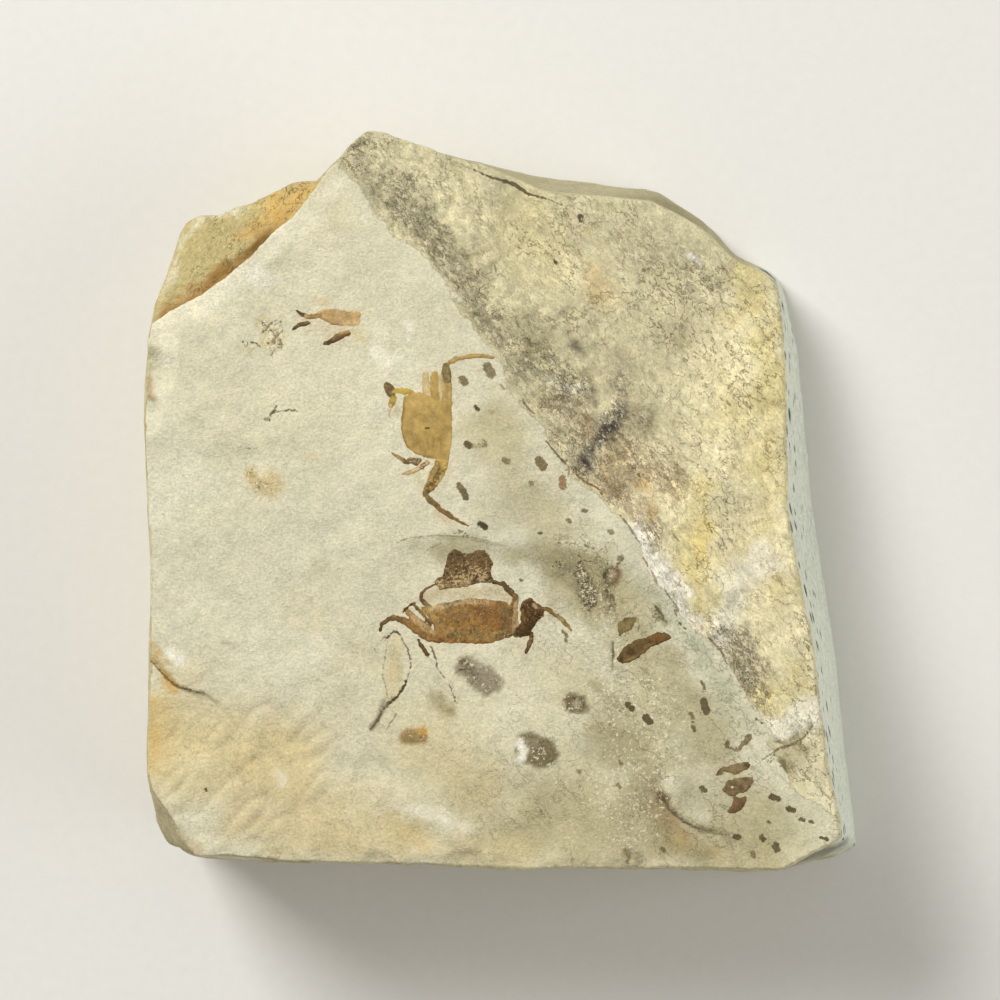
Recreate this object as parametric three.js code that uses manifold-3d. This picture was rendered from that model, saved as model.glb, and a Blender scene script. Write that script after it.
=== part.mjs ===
// Two fossil crabs on a hand-sized block of pale bedded mudstone.
//
// The block is one natural stone. It split along its bedding, and the bedding face bares two
// flattened crabs and a few loose flakes of crab skin. An old weathered joint face slopes away
// from the bedding face at its upper right, and the other sides are broken.
// The block lies on its cleaved back, crabs up. Each fossil is a thin pressed skin of its own
// that lies on the bedding face.
//
// Millimetres, +Z up, origin at the middle of the underside. +Y is the top of the specimen.

import * as THREE from 'three';
import { mergeVertices } from 'three/addons/utils/BufferGeometryUtils.js';
import Module from 'manifold-3d';

const wasm = await Module();
wasm.setup();

// ---- driving dimensions ----

const THICKNESS = 26;         // underside to the upper bed, which carries the upper crab
const LOWER_BED = 0.4;        // the lower crab lies on a bed this much deeper
const SKIN = 0.3;             // thickness of a pressed leg or flake
const SHELL_RISE = 0.3;       // how far the middle of a shell stands above its edge

const WALL_STEP = 3.3;        // longest stretch of wall between two stations
const BED_GRID = 2.5;         // mesh pitch on the bedding face
const JOINT_GRID = 2.0;       // mesh pitch on the weathered joint face
const FACET_GRID = 2.4;       // mesh pitch on the smaller fracture faces

// Corners of the block, counter-clockwise from above. crest is a corner at the level of the
// upper bed, or where it would be had no joint face cut it away, and foot is on the underside.
// rough is 1 on broken wall, and 0 on the smooth right side and upper edge.
const CORNERS = [
  { crest: [-36.7, 18.0], foot: [-36.3, 18.0], rough: 1 },
  { crest: [-37.0, 8.6], foot: [-36.5, 8.4], rough: 1 },
  { crest: [-36.4, -7.2], foot: [-36.2, -7.0], rough: 1 },
  { crest: [-36.8, -24.9], foot: [-36.3, -24.6], rough: 1 },
  { crest: [-36.1, -31.8], foot: [-36.0, -31.6], rough: 0.6 },
  { crest: [-35.4, -34.5], foot: [-35.2, -34.6], rough: 0.6 },
  { crest: [-34.0, -34.4], foot: [-34.0, -35.4], rough: 0.8 },
  { crest: [-31.8, -35.0], foot: [-31.6, -36.9], rough: 1 },
  { crest: [-15.3, -35.6], foot: [-15.3, -37.3], rough: 1 },
  { crest: [0.7, -36.1], foot: [1.0, -37.5], rough: 1 },
  { crest: [18.7, -36.3], foot: [18.9, -37.6], rough: 1 },
  { crest: [26.9, -36.3], foot: [30.7, -38.1], rough: 0.5 },
  { crest: [29.4, -34.8], foot: [35.2, -37.5], rough: 0.2 },
  { crest: [32.9, -33.1], foot: [37.1, -36.4], rough: 0.1 },
  { crest: [32.6, -30.6], foot: [36.8, -33.4], rough: 0.1 },
  { crest: [31.4, -26.5], foot: [36.0, -27.5], rough: 0 },
  { crest: [29.6, -14.8], foot: [34.7, -14.8], rough: 0 },
  { crest: [25.6, 0.3], foot: [32.3, 0.6], rough: 0 },
  { crest: [25.0, 15.6], foot: [30.8, 16.7], rough: 0 },
  { crest: [25.6, 21.4], foot: [29.4, 22.6], rough: 0.2 },
  { crest: [25.5, 22.5], foot: [28.9, 24.4], rough: 0.2 },
  { crest: [24.6, 23.2], foot: [27.7, 25.5], rough: 0.3 },
  { crest: [21.4, 24.2], foot: [24.1, 27.2], rough: 0.3 },
  { crest: [19.6, 25.9], foot: [22.0, 29.6], rough: 0.3 },
  { crest: [17.6, 27.2], foot: [20.5, 31.0], rough: 0.3 },
  { crest: [12.9, 29.4], foot: [15.6, 34.1], rough: 0.2 },
  { crest: [3.2, 30.8], foot: [3.5, 35.5], rough: 0.2 },
  { crest: [-3.2, 34.5], foot: [-3.0, 36.9], rough: 0.2 },
  { crest: [-9.3, 37.1], foot: [-9.3, 37.0], rough: 0.5 },
  { crest: [-13.2, 38.2], foot: [-13.0, 37.7], rough: 0.6 },
  { crest: [-15.0, 38.3], foot: [-14.7, 37.7], rough: 0.6 },
  { crest: [-16.5, 36.5], foot: [-16.5, 35.8], rough: 1 },
  { crest: [-19.4, 33.0], foot: [-20.2, 33.3], rough: 1 },
  { crest: [-22.5, 32.9], foot: [-22.5, 32.9], rough: 0.8 },
  { crest: [-25.3, 31.4], foot: [-25.2, 31.5], rough: 0.8 },
  { crest: [-29.9, 30.2], foot: [-29.8, 30.3], rough: 0.8 },
  { crest: [-32.3, 30.4], foot: [-32.2, 30.2], rough: 0.6 },
  { crest: [-34.0, 29.7], foot: [-33.8, 29.4], rough: 0.8 },
  { crest: [-34.7, 26.6], foot: [-34.5, 26.5], rough: 1 },
  { crest: [-35.8, 22.6], foot: [-35.5, 22.4], rough: 1 },
];

// The beds that show as low ledges on a broken wall: the base of each, and how far it stands
// out from the wall.
const BEDS = [
  { base: 0, out: -0.55 },
  { base: 2.4, out: 0.15 },
  { base: 6.6, out: -0.25 },
  { base: 10.1, out: 0.3 },
  { base: 15.3, out: -0.1 },
  { base: 19.6, out: 0.25 },
  { base: 23.8, out: 0 },
];
const LEDGE = 0.3;            // height over which one bed steps to the next
const STOCK_TOP = 27.5;       // top of the stone before the beds above were split off

// Fracture faces. Each is a rough plane through a point on the upper bed. It dips toward a
// bearing, in degrees from +X to +Y. rim is the edge that it leaves on the bedding face.
const JOINT_FACE = {
  through: [25.1, -23.1],
  toward: 36.7,
  dip: 30,
  downhill: 46,
  grid: [JOINT_GRID, 1.5],
  lumps: [{ size: 9, height: 0.35 }, { size: 3.6, height: 0.5 }],
  rim: [
    [25.1, -23.1], [23.9, -21.0], [22.5, -19.2], [21.2, -17.3], [21.0, -15.3], [19.0, -13.2],
    [16.7, -11.0], [14.9, -8.7], [13.5, -6.7], [12.7, -4.0], [11.4, -2.0], [9.9, -0.5],
    [8.3, 1.2], [6.6, 2.0], [4.5, 4.8], [3.5, 6.4], [2.8, 8.5], [1.1, 10.3], [-0.1, 12.0],
    [-1.1, 14.2], [-2.1, 15.7], [-3.8, 17.7], [-5.4, 19.6], [-6.5, 21.2], [-6.0, 22.0],
    [-8.2, 25.1], [-10.7, 26.7], [-12.3, 28.2], [-14.4, 30.6], [-16.0, 32.6], [-17.4, 33.9],
  ],
};
const OCHRE_FACE = {
  through: [-36.6, 18.0],
  toward: 132.7,
  dip: 62,
  downhill: 20,
  grid: [FACET_GRID, FACET_GRID],
  lumps: [{ size: 7, height: 0.45 }, { size: 3, height: 0.25 }],
  rim: [
    [-14.8, 38.1], [-16.3, 36.2], [-18.5, 34.1], [-19.8, 32.0], [-20.6, 31.0], [-22.1, 29.1],
    [-24.0, 27.6], [-26.3, 25.1], [-28.6, 23.0], [-30.9, 21.3], [-34.3, 19.6], [-36.6, 18.0],
  ],
};
const CORNER_CHIP = {
  through: [-35.7, -28.8],
  toward: 212.5,
  dip: 70,
  downhill: 22,
  grid: [FACET_GRID, FACET_GRID],
  lumps: [{ size: 4, height: 0.3 }],
  rim: [[-35.7, -28.8], [-34.0, -31.2], [-32.9, -33.6], [-32.0, -34.6]],
};
const YELLOW_FACE = {
  through: [32.9, -33.0],
  toward: 52,
  dip: 24,
  downhill: 16,
  grid: [1.8, 1.8],
  lumps: [{ size: 3.5, height: 0.2 }],
  rim: [[32.9, -33.0], [27.3, -28.7], [26.4, -26.4], [25.7, -24.2]],
};
// The yellow face lies under the joint face's crust, which ends along this ragged lip.
const CRUST_LIP = [
  [33.8, -20.0], [30.2, -21.4], [29.6, -22.4], [28.3, -22.6], [27.3, -23.6], [26.2, -23.3],
  [25.1, -23.4], [25.2, -25.0], [25.9, -27.2], [25.9, -30.0], [28.0, -40], [45, -40], [45, -20],
];

// Beds split off the face. outline is the plan of the missing flake, and its floor lies deep
// below the upper bed within near of the spine, and at far from it is runout above that bed.
const LOWER_BED_FLAKE = {
  depth: LOWER_BED,
  spine: [[-5, -12.5], [8, -15.5], [24, -27]],
  near: 10.2,
  far: 17,
  runout: 0.15,
  outline: [
    [-24, -8], [-15.5, -5.6], [-13.2, -4.4], [-11.7, -3.6], [-10.0, -3.0], [-7.0, -2.8],
    [-3.5, -3.1], [-2.0, -3.5], [0.7, -4.0], [4.7, -4.3], [8.7, -4.7], [12.7, -4.4],
    [16, -2], [45, -2], [45, -45], [-24, -45],
  ],
};
const ARC_FLAKE = {
  depth: 1.0,
  spine: [[16.4, -31.6], [18.6, -34.0]],
  near: 1.8,
  far: 9,
  runout: 0.3,
  outline: [
    [14.8, -26.5], [14.8, -28.0], [15.1, -29.2], [15.7, -30.1], [17.0, -31.1], [18.1, -31.8],
    [19.3, -32.2], [21.5, -32.6], [24, -40], [6, -40], [6, -26],
  ],
};
const LEFT_FLAKE = {
  depth: 0.7,
  spine: [[-37.5, -17.6], [-34.5, -20.0]],
  near: 2.0,
  far: 9,
  runout: 0.3,
  outline: [
    [-40, -14.0], [-36.2, -15.1], [-35.3, -16.0], [-34.3, -16.9], [-33.2, -17.9],
    [-32.2, -18.2], [-31.0, -18.4], [-29.5, -19.5], [-30, -30], [-40, -30],
  ],
};

// Shallow shell-shaped chips along the edges of the bedding face: where, how wide and how deep.
const CHIPS = [
  { at: [-35.9, 13.6], reach: [1.9, 2.6], depth: 0.7 },
  { at: [-36.6, 9.4], reach: [1.5, 2.2], depth: 0.5 },
  { at: [-36.9, -3.5], reach: [1.0, 2.8], depth: 0.4 },
  { at: [-28.8, -35.4], reach: [2.6, 1.5], depth: 0.35 },
  { at: [-23.6, -35.4], reach: [2.9, 1.6], depth: 0.45 },
  { at: [-17.6, -35.6], reach: [3.3, 2.7], depth: 0.5 },
  { at: [-13.6, -36.1], reach: [2.1, 1.9], depth: 0.7 },
  { at: [-9.4, -36.2], reach: [2.4, 1.3], depth: 0.35 },
  { at: [-4.2, -36.2], reach: [2.7, 2.0], depth: 0.55 },
  { at: [-0.9, -36.0], reach: [2.4, 1.5], depth: 0.4 },
  { at: [5.4, -36.4], reach: [3.0, 1.3], depth: 0.35 },
  { at: [11.5, -36.4], reach: [2.6, 1.2], depth: 0.3 },
];
const CHIP_HEIGHT = 5;        // half height of the round tool that leaves a chip

// Seats for the fossils, where the bedding face is flat: circles [x, y, radius].
const SEATS = [
  [-7.5, -9.5, 6.5], [-1.0, -9.5, 6.5], [3.5, -11.0, 5.0], [-9.0, 8.0, 7.0], [-7.5, 13.0, 6.0],
  [-5.5, 1.0, 5.0], [-20.0, 18.0, 5.0], [-16.5, 18.0, 4.5], [13.0, -13.5, 5.0],
  [22.0, -27.8, 4.5],
];
const SEAT_FADE = 4.5;        // width over which the face turns from flat to uneven

// ---- noise ----

// A repeatable random number in [-1, 1] for each whole-number place.
function scatter(i, j, k) {
  const wave = Math.sin(i * 127.1 + j * 311.7 + k * 74.7) * 43758.5453;
  return 2 * (wave - Math.floor(wave)) - 1;
}

// Smooth unevenness in [-1, 1] that changes over about size millimetres.
function unevenness(x, y, z, size) {
  const place = [x / size, y / size, z / size];
  const low = place.map(Math.floor);
  const part = place.map((value, axis) => THREE.MathUtils.smoothstep(value - low[axis], 0, 1));
  let total = 0;
  for (let corner = 0; corner < 8; corner += 1) {
    const step = [corner & 1, (corner >> 1) & 1, corner >> 2];
    const weight = step.reduce((w, s, axis) => w * (s ? part[axis] : 1 - part[axis]), 1);
    total += weight * scatter(low[0] + step[0], low[1] + step[1], low[2] + step[2]);
  }
  return total;
}

// ---- plan geometry ----

function distanceToLine(x, y, line) {
  const spot = new THREE.Vector3(x, y, 0);
  const nearest = new THREE.Vector3();
  let best = Infinity;
  for (let i = 0; i + 1 < line.length; i += 1) {
    const piece = new THREE.Line3(
      new THREE.Vector3(line[i][0], line[i][1], 0),
      new THREE.Vector3(line[i + 1][0], line[i + 1][1], 0),
    );
    piece.closestPointToPoint(spot, true, nearest);
    best = Math.min(best, nearest.distanceTo(spot));
  }
  return best;
}

// 0 where a fossil is seated, 1 on the uneven face around it.
function awayFromSeats(x, y) {
  return SEATS.reduce((least, [cx, cy, radius]) => {
    const gap = Math.hypot(x - cx, y - cy) - radius;
    return Math.min(least, THREE.MathUtils.smoothstep(gap, 0, SEAT_FADE));
  }, 1);
}

// How far a bedding surface departs from its plane.
function bedRelief(x, y) {
  const swell = 0.3 * unevenness(x, y, 1.5, 11) + 0.14 * unevenness(x, y, 4.5, 4);
  return (swell - 0.05) * awayFromSeats(x, y);
}

// ---- solids ----

// A three.js geometry as a solid whose shared corners are merged.
function toSolid(geometry) {
  const bare = geometry.clone();
  bare.deleteAttribute('normal');
  bare.deleteAttribute('uv');
  const merged = mergeVertices(bare, 1e-4);
  return new wasm.Manifold(new wasm.Mesh({
    numProp: 3,
    vertProperties: new Float32Array(merged.attributes.position.array),
    triVerts: new Uint32Array(merged.index.array),
  }));
}

function toMesh(name, solid, material) {
  const { vertProperties, triVerts } = solid.getMesh();
  const geometry = new THREE.BufferGeometry();
  geometry.setAttribute('position', new THREE.Float32BufferAttribute(vertProperties, 3));
  geometry.setIndex(new THREE.Uint32BufferAttribute(triVerts, 1));
  geometry.computeVertexNormals();
  const mesh = new THREE.Mesh(geometry, material);
  mesh.name = name;
  return mesh;
}

function moveVertices(geometry, place) {
  const position = geometry.attributes.position;
  const point = new THREE.Vector3();
  for (let i = 0; i < position.count; i += 1) {
    point.fromBufferAttribute(position, i);
    place(point);
    position.setXYZ(i, point.x, point.y, point.z);
  }
}

// An upright prism over a plan outline.
function prism(outline, base, top) {
  const shape = new THREE.Shape(outline.map(([x, y]) => new THREE.Vector2(x, y)));
  const geometry = new THREE.ExtrudeGeometry(shape, { depth: top - base, bevelEnabled: false });
  geometry.translate(0, 0, base);
  return toSolid(geometry);
}

// ---- the stone ----

// Stations round the block at no more than WALL_STEP, with the block's corners among them.
function wallStations() {
  const stations = [];
  CORNERS.forEach((corner, i) => {
    const next = CORNERS[(i + 1) % CORNERS.length];
    const run = Math.hypot(next.crest[0] - corner.crest[0], next.crest[1] - corner.crest[1]);
    const parts = Math.ceil(run / WALL_STEP);
    for (let part = 0; part < parts; part += 1) {
      const t = part / parts;
      const mix = (from, to) => from.map((value, axis) => value + t * (to[axis] - value));
      stations.push({
        crest: mix(corner.crest, next.crest),
        foot: mix(corner.foot, next.foot),
        rough: corner.rough + t * (next.rough - corner.rough),
      });
    }
  });
  return stations;
}

// Levels of the wall's rows of vertices: each bed has one at its base and one at its top.
function wallLevels() {
  const levels = [];
  BEDS.forEach((bed, i) => {
    const top = i + 1 < BEDS.length ? BEDS[i + 1].base - LEDGE / 2 : STOCK_TOP;
    levels.push({ z: i ? bed.base + LEDGE / 2 : 0, out: bed.out });
    levels.push({ z: top, out: bed.out });
  });
  return levels;
}

function stoneStock() {
  const stations = wallStations();
  const levels = wallLevels();
  const count = stations.length;
  const geometry = new THREE.CylinderGeometry(1, 1, 2, count, levels.length - 1);
  moveVertices(geometry, (point) => {
    const row = Math.round(((point.y + 1) / 2) * (levels.length - 1));
    const { z, out } = levels[row];
    if (Math.hypot(point.x, point.z) < 0.5) {
      point.set(0, 0, z);
      return;
    }
    const turn = Math.atan2(point.x, point.z) / (2 * Math.PI);
    const index = (Math.round(turn * count) + count) % count;
    const { crest, foot, rough } = stations[index];
    const ahead = stations[(index + 1) % count].crest;
    const behind = stations[(index + count - 1) % count].crest;
    const along = new THREE.Vector2(ahead[0] - behind[0], ahead[1] - behind[1]).normalize();
    const t = z / THICKNESS;
    const x = foot[0] + t * (crest[0] - foot[0]);
    const y = foot[1] + t * (crest[1] - foot[1]);
    const patchy = 0.5 + unevenness(x, y, z, 8);
    const lumps = 0.45 * unevenness(x, y, z, 6) + 0.12 * unevenness(x, y, z, 3);
    const belowRim = 0.2 + 0.8 * THREE.MathUtils.smoothstep(THICKNESS - z, 0, 6);
    const push = belowRim * (rough * (out * patchy + lumps - 0.1) + 0.05 * lumps);
    point.set(x + along.y * push, y - along.x * push, z);
  });
  return toSolid(geometry);
}

// The rock that a fracture took away: a block whose near face is the rough fracture plane.
function wasteBeyond({ through, toward, dip, downhill, grid, lumps, rim }) {
  const bearing = THREE.MathUtils.degToRad(toward);
  const slope = THREE.MathUtils.degToRad(dip);
  const outward = new THREE.Vector3(Math.cos(bearing), Math.sin(bearing), 0);
  const strike = new THREE.Vector3(-outward.y, outward.x, 0);
  const up = new THREE.Vector3(0, 0, 1);
  const normal = outward.clone().multiplyScalar(Math.sin(slope));
  normal.addScaledVector(up, Math.cos(slope));
  const down = outward.clone().multiplyScalar(Math.cos(slope));
  down.addScaledVector(up, -Math.sin(slope));
  const origin = new THREE.Vector3(through[0], through[1], THICKNESS);

  const edge = rim.map(([x, y]) => {
    const offset = new THREE.Vector3(x - through[0], y - through[1], 0);
    return { along: offset.dot(strike), out: offset.dot(outward) };
  });
  edge.sort((a, b) => a.along - b.along);
  const rimAt = (along) => {
    const next = edge.findIndex((spot) => spot.along > along);
    if (next < 1) return edge[next === 0 ? 0 : edge.length - 1].out;
    const [from, to] = [edge[next - 1], edge[next]];
    return THREE.MathUtils.mapLinear(along, from.along, to.along, from.out, to.out);
  };

  const above = 4;
  const beyond = 14;
  const depth = 40;
  const start = edge[0].along - beyond;
  const length = edge[edge.length - 1].along + beyond - start;
  const run = above + downhill;
  const geometry = new THREE.BoxGeometry(
    run, length, depth, Math.round(run / grid[0]), Math.round(length / grid[1]), 1,
  );
  geometry.translate(run / 2 - above, start + length / 2, depth / 2);
  const reach = 9;
  moveVertices(geometry, (point) => {
    if (point.z > 0.01) return;
    const fade = Math.exp(-Math.max(point.x, 0) / reach);
    point.z += rimAt(point.y) * Math.sin(slope) * fade;
    const calm = THREE.MathUtils.smoothstep(point.x, 0, 5) * 0.75 + 0.25;
    for (const { size, height } of lumps) {
      point.z += calm * height * unevenness(point.x, point.y, dip + size, size);
    }
  });
  geometry.applyMatrix4(new THREE.Matrix4().makeBasis(down, strike, normal).setPosition(origin));
  return toSolid(geometry);
}

// The rock above a bedding surface, whose height is given for each place.
function wasteAbove(height, [low, high]) {
  const size = [high[0] - low[0], high[1] - low[1]];
  const depth = 8;
  const geometry = new THREE.BoxGeometry(
    size[0], size[1], depth, Math.round(size[0] / BED_GRID), Math.round(size[1] / BED_GRID), 1,
  );
  geometry.translate(low[0] + size[0] / 2, low[1] + size[1] / 2, depth / 2);
  moveVertices(geometry, (point) => {
    point.z += point.z > 0.01 ? THICKNESS : height(point.x, point.y);
  });
  return toSolid(geometry);
}

function flakeWaste({ depth, spine, near, far, runout, outline }) {
  const floor = (x, y) => {
    const fade = THREE.MathUtils.smoothstep(distanceToLine(x, y, spine), near, far);
    return THICKNESS - depth + fade * (depth + runout) + 0.7 * bedRelief(x, y);
  };
  const margin = 1;
  const xs = spine.map((point) => point[0]);
  const ys = spine.map((point) => point[1]);
  const low = [Math.min(...xs) - far - margin, Math.min(...ys) - far - margin];
  const high = [Math.max(...xs) + far + margin, Math.max(...ys) + far + margin];
  return wasteAbove(floor, [low, high]).intersect(prism(outline, THICKNESS - 4, THICKNESS + 2));
}

function chipWaste({ at, reach, depth }) {
  const geometry = new THREE.SphereGeometry(1, 14, 10);
  geometry.rotateX(Math.PI / 2);
  const belly = Math.sqrt(1 - (1 - depth / CHIP_HEIGHT) ** 2);
  geometry.scale(reach[0] / belly, reach[1] / belly, CHIP_HEIGHT);
  geometry.translate(at[0], at[1], THICKNESS - depth + CHIP_HEIGHT);
  moveVertices(geometry, (point) => {
    const ragged = 1 + 0.28 * unevenness(point.x, point.y, 7.5, 2.2);
    point.x = at[0] + (point.x - at[0]) * ragged;
    point.y = at[1] + (point.y - at[1]) * ragged;
  });
  return toSolid(geometry);
}

function mudstoneBlock() {
  const span = 42;
  const upperBed = (x, y) => THICKNESS + bedRelief(x, y);
  const yellowWaste = wasteBeyond(YELLOW_FACE).intersect(prism(CRUST_LIP, 0, 40));
  const wastes = [
    wasteAbove(upperBed, [[-span, -span], [span, span]]),
    wasteBeyond(JOINT_FACE),
    wasteBeyond(OCHRE_FACE),
    wasteBeyond(CORNER_CHIP),
    yellowWaste,
    ...[LOWER_BED_FLAKE, ARC_FLAKE, LEFT_FLAKE].map(flakeWaste),
    ...CHIPS.map(chipWaste),
  ];
  return wastes.reduce((stone, waste) => stone.subtract(waste), stoneStock());
}

// ---- the fossils ----

const UPPER_SEAT = THICKNESS;
const LOWER_SEAT = THICKNESS - LOWER_BED;

// A flat pressed flake of skin.
function flake(outline, seat) {
  return prism(outline, seat, seat + SKIN);
}

// A leg joint or other narrow strip of skin along a line, width wide at each point.
function strip(line, widths, seat) {
  const left = [];
  const right = [];
  line.forEach(([x, y], i) => {
    const ahead = line[Math.min(i + 1, line.length - 1)];
    const behind = line[Math.max(i - 1, 0)];
    const along = new THREE.Vector2(ahead[0] - behind[0], ahead[1] - behind[1]).normalize();
    const half = widths[i] / 2;
    left.push([x - along.y * half, y + along.x * half]);
    right.unshift([x + along.y * half, y - along.x * half]);
  });
  return prism([...right.reverse(), ...left.reverse()], seat, seat + SKIN);
}

// A shell: its outline, with the low crown of a flattened ball.
function shell(outline, seat) {
  const box = new THREE.Box2();
  outline.forEach(([x, y]) => box.expandByPoint(new THREE.Vector2(x, y)));
  const centre = box.getCenter(new THREE.Vector2());
  const size = box.getSize(new THREE.Vector2());
  const crown = new THREE.SphereGeometry(1, 28, 24);
  crown.rotateX(Math.PI / 2);
  const spread = 0.78;
  crown.scale(size.x * spread, size.y * spread, SKIN + SHELL_RISE);
  crown.translate(centre.x, centre.y, seat);
  return prism(outline, seat, seat + 2 * SKIN + SHELL_RISE).intersect(toSolid(crown));
}

function joinAll(pieces) {
  return pieces.reduce((whole, piece) => whole.add(piece));
}

// The lower crab lies crosswise, its front up. The shell has broken across, and stone shows
// between its back and its front plate.
function lowerCrab() {
  const seat = LOWER_SEAT;
  const back = [
    [-8.4, -9.8], [-6.7, -9.5], [-4.6, -9.0], [-2.8, -9.1], [-1.2, -9.3], [-0.1, -9.6],
    [0.2, -10.5], [0.1, -11.9], [0.5, -12.6], [-0.5, -13.0], [-2.1, -13.5], [-3.9, -13.6],
    [-6.0, -13.6], [-7.1, -13.5], [-7.7, -12.9], [-8.1, -11.8], [-8.5, -10.9],
  ];
  const front = [
    [-6.0, -4.1], [-4.6, -4.3], [-3.4, -4.1], [-2.4, -4.6], [-1.9, -5.4], [-2.2, -6.4],
    [-1.9, -7.1], [-2.2, -7.5], [-3.9, -7.6], [-5.3, -8.0], [-7.4, -8.1], [-7.9, -7.3],
    [-6.8, -5.6], [-6.6, -4.9],
  ];
  const claw = [
    [0.3, -11.3], [1.0, -10.8], [0.9, -9.9], [1.2, -9.2], [1.8, -9.1], [2.2, -9.9],
    [2.9, -9.9], [3.4, -10.8], [2.1, -11.9], [1.6, -12.5], [0.3, -12.8],
  ];
  return joinAll([
    shell(back, seat),
    flake(front, seat),
    flake(claw, seat),
    strip([[-7.6, -7.7], [-8.6, -8.2], [-9.2, -8.9], [-8.8, -9.6], [-7.9, -10.1]],
      [0.3, 0.3, 0.4, 0.5, 0.5], seat),
    strip([[-2.2, -7.3], [-1.1, -7.6], [-0.1, -8.8], [0.3, -9.1], [0.0, -10.2]],
      [0.4, 0.4, 0.5, 0.5, 0.5], seat),
    strip([[-10.3, -9.9], [-9.2, -10.9], [-8.1, -12.0]], [0.4, 0.5, 0.6], seat),
    strip([[-13.2, -12.5], [-13.2, -11.7], [-12.4, -11.1], [-11.0, -11.3], [-9.4, -12.2],
      [-8.0, -13.0], [-7.0, -13.4]], [0.3, 0.5, 0.6, 0.9, 0.8, 0.7, 0.5], seat),
    strip([[-9.3, -12.2], [-9.1, -13.6], [-8.4, -14.7]], [0.4, 0.6, 0.4], seat),
    strip([[2.8, -9.8], [4.2, -10.9], [5.9, -12.5]], [0.7, 0.7, 0.4], seat),
    strip([[1.4, -12.3], [1.9, -13.4], [1.4, -14.6]], [0.7, 0.6, 0.3], seat),
  ]);
}

// The upper crab is turned a quarter turn: its long right side is straight, and its legs are
// folded at both ends.
function upperCrab() {
  const seat = UPPER_SEAT;
  const back = [
    [-10.7, 11.3], [-9.7, 11.5], [-8.9, 11.2], [-8.1, 10.6], [-6.1, 11.4], [-6.1, 5.4],
    [-6.9, 3.9], [-7.3, 3.0], [-8.3, 4.6], [-9.7, 5.3], [-10.5, 6.6], [-11.2, 7.3],
    [-10.9, 9.2], [-10.8, 10.6],
  ];
  return joinAll([
    shell(back, seat),
    strip([[-12.5, 12.3], [-11.9, 11.6], [-11.6, 10.9]], [0.8, 1.0, 0.6], seat),
    strip([[-12.0, 11.3], [-11.0, 11.6], [-9.4, 11.2]], [0.7, 0.6, 0.6], seat),
    strip([[-8.9, 13.3], [-8.9, 12.2], [-8.6, 10.8]], [0.5, 0.6, 0.6], seat),
    strip([[-7.9, 13.4], [-7.9, 12.2], [-7.8, 10.6]], [0.6, 0.7, 0.6], seat),
    strip([[-6.6, 14.2], [-6.7, 12.8], [-6.4, 10.8]], [0.9, 1.0, 0.7], seat),
    strip([[-6.7, 13.9], [-5.5, 15.0], [-3.9, 15.3], [-2.0, 15.2]],
      [0.6, 0.6, 0.6, 0.4], seat),
    strip([[-6.6, 5.6], [-7.0, 4.0], [-8.2, 2.6], [-8.9, 1.1]], [0.9, 1.2, 1.0, 0.7], seat),
    strip([[-12.4, 5.7], [-11.0, 4.7], [-9.2, 4.6]], [0.3, 0.6, 0.7], seat),
    strip([[-10.7, 3.5], [-9.4, 3.9], [-8.0, 4.6]], [0.4, 0.6, 0.6], seat),
    strip([[-8.9, 1.4], [-8.2, 0.2], [-7.3, -0.6], [-5.8, -1.3], [-4.1, -2.0]],
      [0.6, 0.7, 0.6, 0.5, 0.3], seat),
  ]);
}

function shellFragment() {
  const plate = [
    [-19.4, 19.9], [-17.3, 19.4], [-15.1, 19.4], [-15.4, 18.2], [-17.3, 17.9], [-19.0, 18.9],
  ];
  return joinAll([
    flake(plate, UPPER_SEAT),
    strip([[-21.6, 19.8], [-20.7, 19.2], [-19.2, 19.2]], [0.4, 0.6, 0.6], UPPER_SEAT),
  ]);
}

const LONG_FLAKE = [
  [10.5, -15.1], [10.9, -14.4], [12.0, -13.5], [13.1, -13.0], [14.4, -12.6], [15.3, -12.5],
  [15.8, -12.9], [14.9, -13.5], [13.6, -14.1], [12.4, -15.0], [11.2, -15.5], [10.6, -15.5],
];
const RIBBED_FLAKE = [
  [10.5, -12.8], [10.6, -11.7], [11.2, -11.1], [12.2, -10.9], [12.2, -11.4], [11.8, -12.0],
  [11.1, -12.7], [10.8, -13.0],
];
const CLAW_FLAKE_TOP = [
  [20.2, -26.8], [21.0, -26.0], [22.3, -25.8], [23.5, -25.5], [23.8, -25.8], [23.4, -26.4],
  [22.2, -26.8], [21.2, -26.5], [20.5, -27.0],
];
const CLAW_FLAKE_MIDDLE = [
  [21.0, -28.1], [21.4, -27.4], [22.2, -27.1], [24.0, -27.1], [23.7, -28.0], [23.0, -28.5],
  [21.9, -28.8],
];
const CLAW_FLAKE_BOTTOM = [
  [22.3, -29.2], [23.3, -29.1], [23.2, -29.8], [22.5, -30.5], [21.6, -30.6], [22.1, -30.0],
];

// ---- the specimen ----

function finish(color, roughness) {
  return new THREE.MeshStandardMaterial({ color, roughness, metalness: 0 });
}

const MUDSTONE = finish(0xd2c8a8, 0.9);
const DARK_SKIN = finish(0x6b5032, 0.6);
const GOLDEN_SKIN = finish(0xb4924f, 0.65);
const TAN_SKIN = finish(0xc09a66, 0.75);

const fossilCrab = new THREE.Group();
fossilCrab.name = 'fossil_crab';
const [leftLeg, rightLeg] = [
  [[[-21.5, 17.4], [-20.4, 18.0], [-19.8, 18.2]], [0.3, 0.7, 0.5]],
  [[[-18.0, 16.3], [-16.8, 17.1], [-15.6, 17.5]], [0.4, 0.9, 0.6]],
].map(([line, widths]) => strip(line, widths, UPPER_SEAT));

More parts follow.
